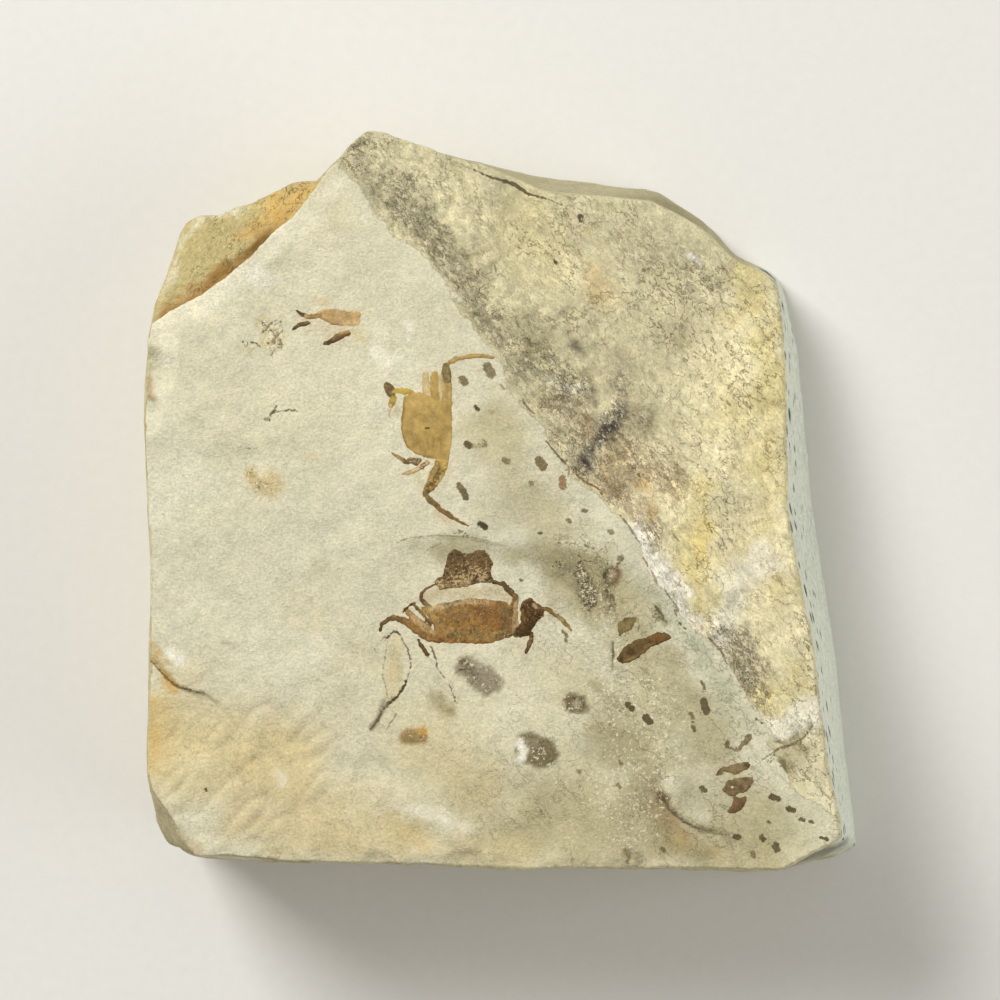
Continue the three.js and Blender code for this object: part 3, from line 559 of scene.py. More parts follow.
# Stains on the joint face and the small faces below it.
FACE_STAINS = [
    ([(24, 16), (24, 4), (25, -8), (25, -14)], 4.5, 9, "light crust", 0.9),
    ([(16.5, 1), (18, -10)], 3, 6, "light crust", 0.85),
    # painted shade: a darker band down the joint face beside the upper part of its rim
    (SHADED_RIM_STRIP, 2.2, 2.6, "crust brown", 0.5),
    ([(10, 18), (14.5, 16)], 3, 6, "crust brown", 0.25),
    ([(-4, 28), (5, 22), (10, 17)], 3, 7, "dull olive", 0.12),
    ([(1.5, 28.3), (4, 24.5)], 2.5, 5, "crust yellow", 0.35),
    ([(11, 27.5), (17, 26), (21, 24)], 2, 4.5, "crust brown", 0.25),
    ([(8.5, 23.5), (9.5, 21.5)], 1.2, 2.5, "orange stain", 0.3),
    ([(24.5, 23), (26.5, 16), (26.5, 6)], 1.6, 3.5, "crust yellow", 0.7),
    ([(22, 12), (26, 2), (26.6, -8)], 1.8, 5, "crust yellow", 0.6),
    ([(2.5, 17), (6, 12.5)], 2.2, 4, "olive shade", 0.7),
    ([(3.4, 13), (5.6, 11.6), (6.8, 12.2)], 0.6, 1, "crust white", 0.85),
    ([(9.5, 13.5), (12.5, 9)], 1.5, 3.5, "crust brown", 0.75),
    ([(5.5, 10.5), (8, 6.5), (10, 3)], 2.6, 3.2, "purple brown", 0.32),
    ([(10.5, 4.5), (16, 2.5)], 1.6, 3, "tan skin", 0.35),
    ([(5.7, 16.6), (6.4, 16.4), (7.3, 15.4)], 0.35, 1, "manganese", 0.7),
    ([(8, 11.9), (8.4, 10.3)], 0.15, 0.6, "manganese", 0.7),
    ([(10.8, 9.2), (9.9, 8.1), (9, 7.9)], 0.5, 1.1, "manganese", 0.95),
    ([(9.8, 6.9), (8.2, 7)], 0.45, 1.1, "manganese", 0.9),
    ([(7.7, 6), (6.9, 5.2), (7.5, 4)], 0.4, 1, "manganese", 0.9),
    ([(7.4, 9.2), (7.9, 7.6)], 0.5, 1.2, "red brown", 0.55),
    ([(10.2, 1.6), (12.4, -1.4)], 1.2, 2.2, "red brown", 0.3),
    ([(13.2, 2.4), (14.2, -0.5)], 0.6, 1.4, "orange stain", 0.35),
    ([(19.2, 1.5), (18.8, -4), (18.6, -9.5)], 1.6, 3, "crust yellow", 0.8),
    ([(19.6, -2), (19, -5.4)], 0.5, 1.8, "bright yellow", 0.6),
    ([(18.2, -11.8), (19.2, -13.6)], 0.6, 1.6, "bright yellow", 0.5),
    ([(12.6, -3), (15.5, -7.6), (17.6, -11.6)], 1.5, 1.8, "chalk white", 0.9),
    ([(20.6, -12.5), (22.5, -8), (25.5, -5)], 1.6, 2.6, "chalk white", 0.6),
    (CRUST_EDGE, 2, 1.4, "purple brown", 0.32),
    ([(21.6, -16.9), (22.6, -18.4)], 0.6, 0.8, "red brown", 0.75),
    ([(24.8, -22.4), (28, -22), (30, -20.6)], 1.6, 1.4, "fresh cream", 1),
    ([(25.5, -19.5), (28.5, -17.5)], 1.2, 2.4, "crust yellow", 0.6),
    ([(18.1, 26.4), (19.5, 25.6)], 0.35, 0.4, "chalk white", 0.95),
]
YELLOW_STAINS = [
    ([(27.2, -26.4), (29, -29), (32.4, -32.2)], 0.9, 2, "crust yellow", 0.75),
    ([(30.8, -22.5), (33.4, -27.5)], 1.2, 2.2, "grey green", 0.55),
    ([(27.4, -25), (29.6, -26.8)], 1, 2.2, "dull olive", 0.5),
    ([(26.6, -26.2), (28, -24.4), (30.4, -23.6)], 0.5, 1, "dull olive", 0.5),
    ([(29, -23.8), (31.6, -24.6)], 0.5, 0.9, "olive smudge", 0.7),
    ([(27, -25.4), (27.2, -26.2)], 0.4, 0.5, "spot brown", 0.85),
    ([(28, -28.5), (32, -32)], 1.6, 3, "crust white", 0.6),
    ([(31.5, -24.5), (32.8, -30)], 1.2, 2.4, "crust white", 0.7),
]
OCHRE_STAINS = [
    ([(-34.6, 19.6), (-30.6, 21.9), (-26.6, 24.9), (-23.6, 27.4)], 1, 1.4, "rust", 0.9),
    ([(-25.8, 26.2), (-24.4, 27.6)], 0.45, 0.9, "dark rust", 0.95),
    ([(-30, 22.8), (-26.6, 25.6)], 0.4, 1.2, "dark rust", 0.7),
    ([(-24.5, 29.5), (-20.6, 31.6)], 1.4, 3, "ochre", 0.9),
    ([(-26.5, 27.6), (-22.5, 29.8)], 0.8, 1.8, "orange stain", 0.5),
    ([(-35.6, 21.5), (-34, 27.5), (-31.5, 30.4), (-27, 30.4)], 0.4, 1.4, "fresh cream", 0.45),
]

# Crisp marks on the stone, by tone: line, width at each point or one width, and strength.
MARKS = {
    # the blackest grains, the outline of the claw's imprint and the open crack
    "ink": [
        ([(-3.25, -1.6), (-2.75, -1.95)], 0.62, 0.95),
        ([(-12.6, -13), (-12.1, -12.5), (-11.8, -12.3), (-11.2, -12.8)], 0.2, 0.9),
        ([(-10.5, -16.9), (-10.9, -17.9), (-11.6, -18.9), (-12.4, -19.5)],
         [0.18, 0.24, 0.3, 0.3], 0.95),
        ([(-26.2, 16.6), (-25.7, 16.5), (-25.3, 16.2)], 0.16, 0.85),
        ([(16.4, -11.3), (17.3, -12.1)], 0.16, 0.8), ([(-30.75, -28.2), (-30.7, -28.2)], 0.36, 0.9),
        ([(6.8, 30.1), (7.2, 30), (7.2, 29.4), (6.9, 29.4), (6.8, 30.1)], 0.22, 0.85),
        ([(4.3, 25.2), (4.5, 24.8)], 0.3, 0.9),
        ([(-4, 34.4), (-1.7, 33.5), (0.1, 33.1), (1.6, 32.1), (3.3, 31.7), (5, 31.1)],
         [0.15, 0.3, 0.5, 0.35, 0.2, 0.08], 0.85),
    ],
    # dark specks, thin edges of beds, the fossils' thin outlines and a painted shadow line
    "speck": [
        ([(-3.7, 10.1), (-3.5, 9.8)], 0.42, 1), ([(-4.6, 6.45), (-4.35, 6.2)], 0.62, 0.95),
        ([(-5.05, 1.7), (-4.75, 1.1)], 0.7, 0.9), ([(2.7, 4.5), (2.9, 4.3)], 0.5, 0.7),
        ([(-5.5, -2.2), (-4.6, -2.6)], 0.14, 0.8), ([(2.6, -2.5), (2.8, -2.5)], 0.35, 0.9),
        ([(4.3, -3.5), (6.2, -3.5)], 0.12, 0.75), ([(7, -3.7), (8.1, -4.1)], 0.13, 0.75),
        ([(6.5, -4.7), (7.4, -5.4), (8.3, -5.3)], 0.14, 0.7),
        ([(9.1, -6.7), (9.2, -6.9)], 0.35, 0.9),
        ([(9.3, -8), (9.5, -8.5), (9.3, -9.2)], 0.22, 0.75), ([(10, -8.8), (10.2, -9.6)], 0.2, 0.7),
        ([(-8.2, -13.9), (-7.8, -14.9), (-7.6, -15.4), (-7.7, -15.9), (-6.9, -16.9)], 0.14, 0.85),
        ([(-6.4, -17.6), (-6.1, -18.4), (-5.65, -19.6)], 0.14, 0.8),
        ([(-10.6, -13.9), (-10.4, -14.6), (-10.2, -15.7), (-10.5, -16.9)], 0.14, 0.85),
        ([(-12.4, -19.5), (-13.1, -20.3), (-13.6, -21.4), (-14.3, -22.1)],
         [0.34, 0.3, 0.3, 0.2], 0.8),
        ([(-24.4, 8.6), (-24.1, 9.5), (-23.6, 10.2)], [0.24, 0.2, 0.12], 0.9),
        ([(-24.3, 9.3), (-23.2, 9.7), (-22.4, 9.8), (-21.6, 9.7)], 0.12, 0.85),
        ([(-27, 16.6), (-26.8, 16.1)], 0.08, 0.85),
        ([(-25.1, 17.5), (-24.7, 17.9), (-24.2, 18.5)], 0.2, 0.7),
        ([(-24.2, 18.5), (-23.6, 18.8), (-23.2, 18.6)], 0.16, 0.75),
        ([(-23.3, 16.7), (-23, 16.3), (-23.2, 16), (-23.6, 16.1)], 0.16, 0.85),
        ([(14.3, -9.9), (14.8, -10.6), (15.3, -11.5)], 0.26, 0.8),
        ([(10, -13.4), (10.05, -14.4), (9.95, -15.7)], [0.1, 0.26, 0.16], 0.8),
        ([(16.1, -10), (16.4, -10.9)], 0.12, 0.7), ([(11.5, -19.7), (11.9, -20.1)], 0.62, 0.95),
        ([(13.3, -21), (13.7, -21.4)], 0.75, 0.95), ([(19.1, -19.4), (19.4, -20.3)], 0.85, 0.9),
        ([(18.9, -17.4), (19.2, -18)], 0.3, 0.8), ([(18, -21.9), (18.2, -22.3)], 0.4, 0.85),
        ([(21.5, -23.5), (21.4, -23.9)], 0.5, 0.85), ([(18.9, -28), (19.2, -28.3)], 0.55, 0.9),
        ([(25.9, -28.9), (26.5, -29.1)], 0.62, 0.95), ([(27.6, -30.1), (28.1, -30.3)], 0.55, 0.95),
        ([(28.8, -31.2), (29, -31.3)], 0.4, 0.9), ([(29.7, -31.4), (30, -31.5)], 0.35, 0.9),
        ([(30.9, -33), (31.5, -33.2)], 0.35, 0.95), ([(22.35, -32.9), (22.5, -32.9)], 0.7, 0.9),
        ([(24.9, -33), (25.1, -33.2)], 0.6, 0.9), ([(26.3, -33.8), (26.4, -34.2)], 0.75, 0.9),
        ([(25.5, -31.4), (25.7, -31.5)], 0.3, 0.9), ([(14.9, -34.2), (15.1, -34.4)], 0.4, 0.8),
        # painted shadow under the edge of the arc-shaped flake at the lower right
        ([(15, -28.9), (15.6, -30.2), (17, -31.4), (18.6, -32.1)], [0.1, 0.34, 0.24, 0.1], 0.65),
        ([(24.2, -21), (25, -21.6)], 0.14, 0.8),
        ([(3.3, 6.7), (4.7, 5), (6, 3.7)], [0.1, 0.26, 0.14], 0.85),
        ([(5.3, 4.9), (6.7, 3.6), (7.6, 3.1)], 0.1, 0.7),
        ([(10.6, -0.6), (11.6, -1.8), (12.6, -3.4)], [0.1, 0.2, 0.1], 0.7),
        ([(15.2, -8.2), (16.6, -10.2)], [0.1, 0.24], 0.7),
        ([(0.9, 10.8), (1.5, 10), (2.2, 9.4)], [0.1, 0.24, 0.12], 0.75),
        ([(19.4, -12.8), (20.8, -14.2), (21.4, -15.6)], [0.12, 0.28, 0.12], 0.75),
        ([(12.6, 3.4), (12.8, 3.2)], 0.22, 0.8), ([(19.9, -1.8), (20.2, -2.6)], 0.14, 0.7),
        ([(13.4, 24.6), (13.6, 24.4)], 0.24, 0.7),
    ],
    # paler specks and smears, and painted shadow lines under a ledge and a lip
    "soft speck": [
        ([(-2.5, 14.1), (-2.2, 13.4)], 0.95, 0.9), ([(-5.1, 12.9), (-4.8, 12.5)], 0.75, 0.95),
        ([(-3.1, 6.9), (-2.7, 6.6), (-2.6, 6.2), (-3, 6.2)], 0.22, 0.8),
        ([(-5.4, 2.35), (-5.15, 1.9)], 0.62, 0.95), ([(-0.9, 4.8), (-0.5, 4.6)], 0.6, 0.85),
        ([(2.6, 4.7), (3, 4.2)], 0.95, 0.95), ([(1.7, 2.55), (1.9, 2.4)], 0.4, 0.8),
        ([(7.1, -0.2), (7.2, -0.3)], 0.45, 0.9), ([(5.5, -1.2), (5.7, -1.4)], 0.42, 0.9),
        ([(9.7, -2.3), (9.9, -2.5)], 0.5, 0.85), ([(0.75, -7.2), (0.85, -7.25)], 0.35, 0.95),
        ([(10.7, -5.1), (10.8, -5)], 0.6, 0.9), ([(-8.6, -4.2), (-7.2, -3.5)], 0.1, 0.5),
        # painted shadow: the thin dark line under the edge of the ledge above the lower crab
        ([(-11.6, -3.5), (-10.8, -3.1), (-10, -2.95), (-7, -2.7), (-3.5, -3), (-2.4, -3.3)],
         0.09, 0.75),
        ([(4.95, -12.4), (5.3, -12.6), (5.35, -13.3)], 0.36, 0.9),
        ([(-12.6, -13.6), (-12.9, -15.4), (-13.1, -16.6), (-12.8, -17.6), (-12.6, -18.8)],
         0.1, 0.6),
        ([(-11.1, -13.1), (-10.7, -13.9), (-10.4, -14.6)], 0.16, 0.8),
        ([(-11.6, -20.5), (-12.2, -21.4), (-12.7, -22.2)], 0.12, 0.7),
        ([(-12.9, -12.9), (-13.2, -13.3)], 0.16, 0.7),
        ([(-13.9, -14.1), (-13.7, -14.3)], 0.16, 0.7), ([(-24.9, 8.9), (-24.3, 8.8)], 0.2, 0.7),
        ([(-23.4, 18.1), (-23.1, 17.7), (-23.5, 17.3)], 0.16, 0.8),
        ([(-24, 17.5), (-23.7, 17), (-24.1, 16.6)], 0.3, 0.7),
        ([(-24, 15.6), (-24.2, 15.2), (-23.9, 14.9)], 0.1, 0.8),
        ([(13.9, -10.8), (14.6, -11.2), (14.2, -11.4)], 0.2, 0.75),
        ([(12.7, -11.5), (12.5, -12.4)], 0.12, 0.7), ([(17.8, -20.5), (18, -21)], 0.45, 0.9),
        ([(22.6, -24.2), (23.6, -23)], [0.3, 0.75], 0.9), ([(21.6, -24), (22.6, -24.3)], 0.3, 0.8),
        ([(24, -34.5), (24.1, -34.9)], 0.5, 0.85), ([(10.7, -25.4), (10.9, -25.6)], 0.4, 0.8),
        ([(6.5, -26.3), (6.7, -26.5)], 0.35, 0.75), ([(10.5, -27.7), (10.7, -27.9)], 0.4, 0.8),
        ([(11.2, -34.2), (11.6, -35), (11.4, -35.4)], 0.35, 0.8),
        ([(2.6, -29.9), (3, -30.7)], 0.1, 0.7),
        # painted shadow: the dark line under the overhanging lip of the crust at the lower right
        ([(30.5, -21.6), (29.3, -23.1), (28, -23.8), (26.6, -24.1), (25, -25.2)],
         [0.1, 0.2, 0.34, 0.26, 0.1], 0.9),
        ([(25.6, -25.6), (26.2, -25)], 0.12, 0.7),
    ],
    "faint speck": [
        ([(-3.9, 6.1), (-3.2, 6.2)], 0.3, 0.7), ([(-1.2, 12.3), (-0.9, 11.9)], 0.3, 0.8),
        ([(-2.3, 9.7), (-2, 9.6)], 0.3, 0.7), ([(-11.6, 5), (-11.2, 4.6)], 0.1, 0.5),
        ([(-26.6, 5.9), (-25.8, 6)], 0.14, 0.8),
    ],
    # rusty edges of beds; the first is a painted shadow line under a step at the left
    "dark rust": [
        # painted shadow: the dark line under the edge of the step near the left side
        ([(-36.3, -15.3), (-34.6, -17.2), (-33.6, -17.9), (-31.3, -18.5)],
         [0.14, 0.3, 0.34, 0.12], 0.8),
        ([(6.2, 3.5), (7.1, 2.7), (8.6, 1.9), (9.6, 0.4)], [0.12, 0.24, 0.2, 0.1], 0.85),
        ([(15.9, -2), (16.3, -2.9), (16.8, -3.4)], 0.12, 0.7),
    ],
    "red brown": [
        ([(4.9, 3), (5, 2.2)], 0.75, 0.85),
        ([(10.4, -5.9), (10.6, -6.6), (10.3, -7.3)], 0.28, 0.85),
        ([(13, -5), (13.9, -6.4), (14.4, -7.6)], [0.2, 0.12, 0.2], 0.75),
    ],
}

# Places where dark grains gather: line, half width, softness, tone and share of dark grains.
GRAIN_PATCHES = [
    ([(-4.8, -15.7), (-3.6, -16.9)], 0.9, 0.8, "speck", 0.5),
    ([(-3.6, -16.9), (-2.3, -17.6)], 0.9, 0.6, "speck", 0.35),
    ([(5.8, -6), (7.2, -8.6)], 1.2, 2.4, "speck", 0.65),
    ([(5, -3.6), (9.5, -5.2)], 1, 2, "soft speck", 0.3),
    ([(9.5, -6), (9.7, -9.8)], 0.7, 1.2, "speck", 0.3),
    (ROUND_SPOT, 1, 0.4, "ink", 0.3),
    (LARGE_SPOT, 1.4, 0.5, "ink", 0.15),
    (LEFT_SPOT, 1.2, 1.5, "olive smudge", 0.3),
    (GRAIN_CLUSTER, 0.7, 0.7, "speck", 0.5),
    (RUSTY_SPOT, 0.7, 0.4, "ink", 0.25),
    ([(7, -12), (12, -18), (18, -24)], 3, 5, "soft speck", 0.15),
    ([(14, -9.5), (20, -17), (23, -23)], 1.2, 1.8, "speck", 0.18),
    ([(10, -31), (18, -34)], 2.5, 4, "soft speck", 0.14),
    ([(-2, 10), (2, 5), (6, 0)], 1.5, 3, "soft speck", 0.12),
]
JOINT_GRAIN_PATCHES = [
    (SHADED_RIM_STRIP, 2.2, 2.6, "speck", 0.22),
    ([(2.4, 16), (5.6, 12)], 2.2, 3, "speck", 0.3),
    ([(5, 10.5), (7.5, 6.5), (10, 3)], 2.4, 2.6, "dark rust", 0.32),
    ([(9.5, 5.5), (16.5, 2.5)], 1.8, 3, "red brown", 0.3),
    ([(11, 1), (14, -3.5)], 1.2, 2.2, "red brown", 0.3),
    ([(9.5, 13.5), (12.5, 9)], 1.2, 3.5, "speck", 0.25),
    ([(10.6, 9), (8.5, 6.9), (7.2, 4.3)], 1.5, 2.2, "manganese", 0.42),
    ([(13, -4), (18, -11)], 1.2, 2, "soft speck", 0.18),
    (CRUST_EDGE, 2, 1.4, "speck", 0.34),
    ([(11, 27), (20, 24)], 3, 5, "soft speck", 0.15),
    ([(19.5, -12.5), (25, -20.5)], 1.5, 2, "red brown", 0.2),
]

# painted highlight: the glint of pale grains is painted by strewing more of them in these places
# Places where pale grains glint: line, half width, softness and share of pale grains.
GLINTING = [
    ([(-4.6, -15.8), (-2.2, -17.4)], 1.2, 0.6, 0.45),
    ([(6.2, -19.7), (6.5, -19.8)], 0.7, 0.6, 0.55),
    ([(1.4, -24.2), (2.6, -24.6)], 1.2, 0.6, 0.55),
    (LEFT_SPOT, 1.2, 1.5, 0.5),
    (GRAIN_CLUSTER, 0.7, 0.7, 0.8),
    ([(-10, -13), (2, -18), (4, -28)], 5, 8, 0.42),
    ([(8, -12), (14, -20), (12, -32)], 5, 6, 0.55),
]

# ---- the fossils ----
# Each fossil is a few parts of pressed skin. A part is a closed outline or a strip along a line.
# It rises above the bed, and its tone darkens to its rim. Touches are painted over the parts.


def plate(outline, rise, tone, rim, mottle=None, grains=0, crown=0):
    """A piece of shell with a closed outline."""
    return {
        "outline": outline, "rise": rise, "tone": tone, "rim": rim, "mottle": mottle,
        "grains": grains, "crown": crown,
    }


def strip(line, widths, rise, tone, rim, mottle=None, grains=0):
    """A leg joint or other narrow piece along a line, width wide at each point."""
    return {
        "line": line, "widths": widths, "rise": rise, "tone": tone, "rim": rim,
        "mottle": mottle, "grains": grains, "crown": 0,
    }


LOWER_CRAB = [
    # shell, broken across below its front plate
    plate([(-9.3, -9.9), (-8.3, -9.9), (-7.6, -9.6), (-6.7, -9.5), (-4.6, -9), (-2.8, -9.1),
           (-1.2, -9.3), (-0.1, -9.7), (0.1, -10.5), (-0.1, -11.9), (0.4, -12.6),
           (-0.5, -13), (-2.1, -13.5), (-3.9, -13.6), (-6, -13.5), (-7.1, -13.5),
           (-7.6, -13), (-8, -11.9), (-8.4, -11)],
          0.2, "warm skin", "brown skin", ("brown skin", 0.9, 0.8), 0.1, 0.2),
    plate([(-6.5, -4.6), (-5.9, -4.1), (-5.4, -4.3), (-4.6, -4.5), (-3.9, -4.4), (-3.4, -4.1),
           (-2.8, -4.3), (-2.3, -4.8), (-1.9, -5.5), (-2.2, -6.3), (-2, -7.1), (-2.3, -7.5),
           (-3.2, -7.5), (-4.2, -7.7), (-5.3, -8), (-6.4, -8), (-7.3, -8.2), (-7.9, -7.4),
           (-7, -6.6), (-6.7, -5.5)],
          0.22, "purple skin", "dark skin", ("brown skin", 0.5, 0.4), 0.2),
    # the left side of the missing front of the shell
    strip([(-7.9, -7.7), (-8.7, -8.1), (-9.2, -8.6), (-9.2, -9.2), (-8.8, -9.6), (-8.2, -9.9)],
          [0.18, 0.2, 0.3, 0.45, 0.5, 0.4], 0.16, "dark skin", "darkest skin"),
    strip([(-2, -7.4), (-1.5, -7.5), (-1, -7.6), (-0.3, -8.4), (0.3, -8.9)],
          [0.3, 0.35, 0.55, 0.55, 0.5], 0.18, "dark skin", "darkest skin"),
    strip([(0.25, -9), (0.2, -10.2), (0.25, -11.4), (0.35, -12.6)],
          [0.6, 0.6, 0.7, 0.8], 0.12, "leg tan", "leg tan", ("brown skin", 0.4, 0.5)),
    strip([(0.2, -8.8), (-0.1, -9.7), (-0.15, -11), (-0.2, -12.4)],
          [0.5, 0.3, 0.16, 0.14], 0.2, "brown skin", "dark skin"),
    # legs on the left, the thick one with a curved tip
    strip([(-10.7, -10.2), (-9.6, -11.4), (-8.2, -12.7)], [0.5, 1, 1.1], 0.1,
          "leg tan", "brown skin", ("warm skin", 0.5, 0.5), 0.06),
    strip([(-11, -10.4), (-10.4, -9.8), (-9.8, -9.5)], [0.16, 0.2, 0.2], 0.13,
          "darkest skin", "darkest skin"),
    strip([(-9.9, -9.7), (-9.2, -10.4), (-8.2, -11.7)], [0.28, 0.4, 0.3], 0.16,
          "dark skin", "dark skin"),
    strip([(-13.3, -12.3), (-13.1, -11.6), (-12.4, -11.1), (-11.7, -11)],
          [0.28, 0.36, 0.4, 0.4], 0.15, "dark skin", "darkest skin"),
    strip([(-11.9, -10.9), (-10.5, -11.5), (-9.4, -12.4), (-8.4, -13.1), (-7.2, -13.4)],
          [0.5, 0.85, 0.75, 0.65, 0.4], 0.22, "warm skin", "dark skin",
          ("brown skin", 0.6, 0.7), 0.06),
    strip([(-9.45, -13.3), (-9.1, -13.9), (-8.55, -14.7)], [0.36, 0.46, 0.3], 0.15,
          "dark skin", "darkest skin"),
    # claw and legs on the right
    plate([(0.75, -9.6), (1.2, -9.1), (1.9, -9), (2.4, -9.5), (3.2, -9.95), (3.1, -10.7),
           (2.5, -11.3), (2, -12), (1.6, -12.8), (0.6, -12.95), (0.2, -12.7),
           (0.3, -12), (0.85, -11.4), (0.7, -10.5)],
          0.24, "darkest skin", "dark skin", ("red skin", 0.5, 0.45), 0.12),
    strip([(2.6, -10), (3.6, -10.2), (4.3, -10.8)], [0.4, 0.4, 0.34], 0.15, "brown skin",
          "dark skin"),
    strip([(4.2, -10.7), (5, -11.2), (5.8, -12.2)], [0.4, 0.45, 0.2], 0.14, "olive skin",
          "dark skin"),
    strip([(1.85, -12.6), (1.75, -13.4), (1.3, -14.5)], [0.4, 0.46, 0.3], 0.14,
          "dark skin", "darkest skin", ("brown skin", 0.4, 0.5)),
]
LOWER_CRAB_TOUCHES = [
    ([(-8.2, -10), (-6.5, -9.8), (-4.6, -9.3), (-2.5, -9.4)], 0.28, 0.4, "pale skin", 0.7),
    ([(-8.6, -10.2), (-7.4, -11.2)], 0.6, 0.9, "gold skin", 0.45),
    ([(-7.6, -10.6), (-7, -10.8)], 0.14, 0.2, "red skin", 0.8),
    ([(-6.2, -10.1), (-6, -10.9)], 0.5, 0.7, "brown skin", 0.6),
    ([(-3, -10.3), (-1.5, -11.3)], 1, 1, "red skin", 0.6),
    ([(-0.7, -10.4), (-0.6, -12.2)], 0.4, 0.7, "dark skin", 0.6),
    ([(-5.8, -11.6), (-3.8, -12)], 0.6, 0.9, "brown skin", 0.5),
    ([(-6.8, -12.3), (-4.6, -12.9), (-2, -12.8)], 0.3, 0.6, "olive skin", 0.5),
    ([(-7.2, -13.2), (-5.6, -13.3), (-2.8, -13.4)], 0.12, 0.3, "red skin", 0.6),
    ([(-2.2, -12.6), (-1, -12.3), (-0.6, -12.2)], 0.08, 0.15, "gold skin", 0.8),
    ([(-0.3, -12.9), (0.8, -12.6), (1.6, -12.7)], 0.22, 0.35, "darkest skin", 0.7),
    ([(1.2, -11.3), (1.6, -11.8)], 0.3, 0.4, "darkest skin", 0.6),
    ([(2.05, -9.65), (2.3, -9.95)], 0.12, 0.14, "pale skin", 0.7),
    ([(0.95, -10.3), (1.1, -11.1)], 0.14, 0.2, "warm skin", 0.5),
    ([(-1.2, -10), (-0.6, -11.4), (-1, -12.8)], 0.5, 0.7, "dark skin", 0.5),
    ([(-10.4, -11.5), (-9.4, -12.3)], 0.16, 0.3, "warm skin", 0.6),
    ([(-5.8, -4.8), (-4.6, -5.2), (-3, -4.9), (-2.3, -5.6)], 0.45, 0.6, "dark skin", 0.8),
    ([(-5.6, -4.5), (-5, -4.8)], 0.3, 0.4, "darkest skin", 0.35),
    ([(-7.6, -7.9), (-5.8, -7.9), (-4.4, -7.5)], 0.25, 0.4, "pale skin", 0.4),
    ([(-8, -7.2), (-7.3, -6.9), (-6.5, -6.5)], 0.07, 0.08, "ink", 0.95),
    ([(-3.9, -7.25), (-3.3, -7.15), (-2.7, -7.3), (-2.2, -7)], 0.09, 0.1, "ink", 0.95),
    ([(-7.9, -7.3), (-7.7, -7.8)], 0.1, 0.12, "ink", 0.7),
    ([(-8.2, -12.8), (-7.3, -13.3)], 0.2, 0.25, "red skin", 0.6),
]
LOWER_CRAB_GRAINS = [
    ([(-7.4, -7.5), (-5, -7), (-3, -6.8)], 0.6, 1, "pale skin", 0.3),
    ([(-5.8, -6.3), (-3.6, -6)], 0.4, 1, "pale skin", 0.15),
    ([(0.4, -12.3), (1.8, -12.3)], 0.4, 0.5, "darkest skin", 0.5),
]

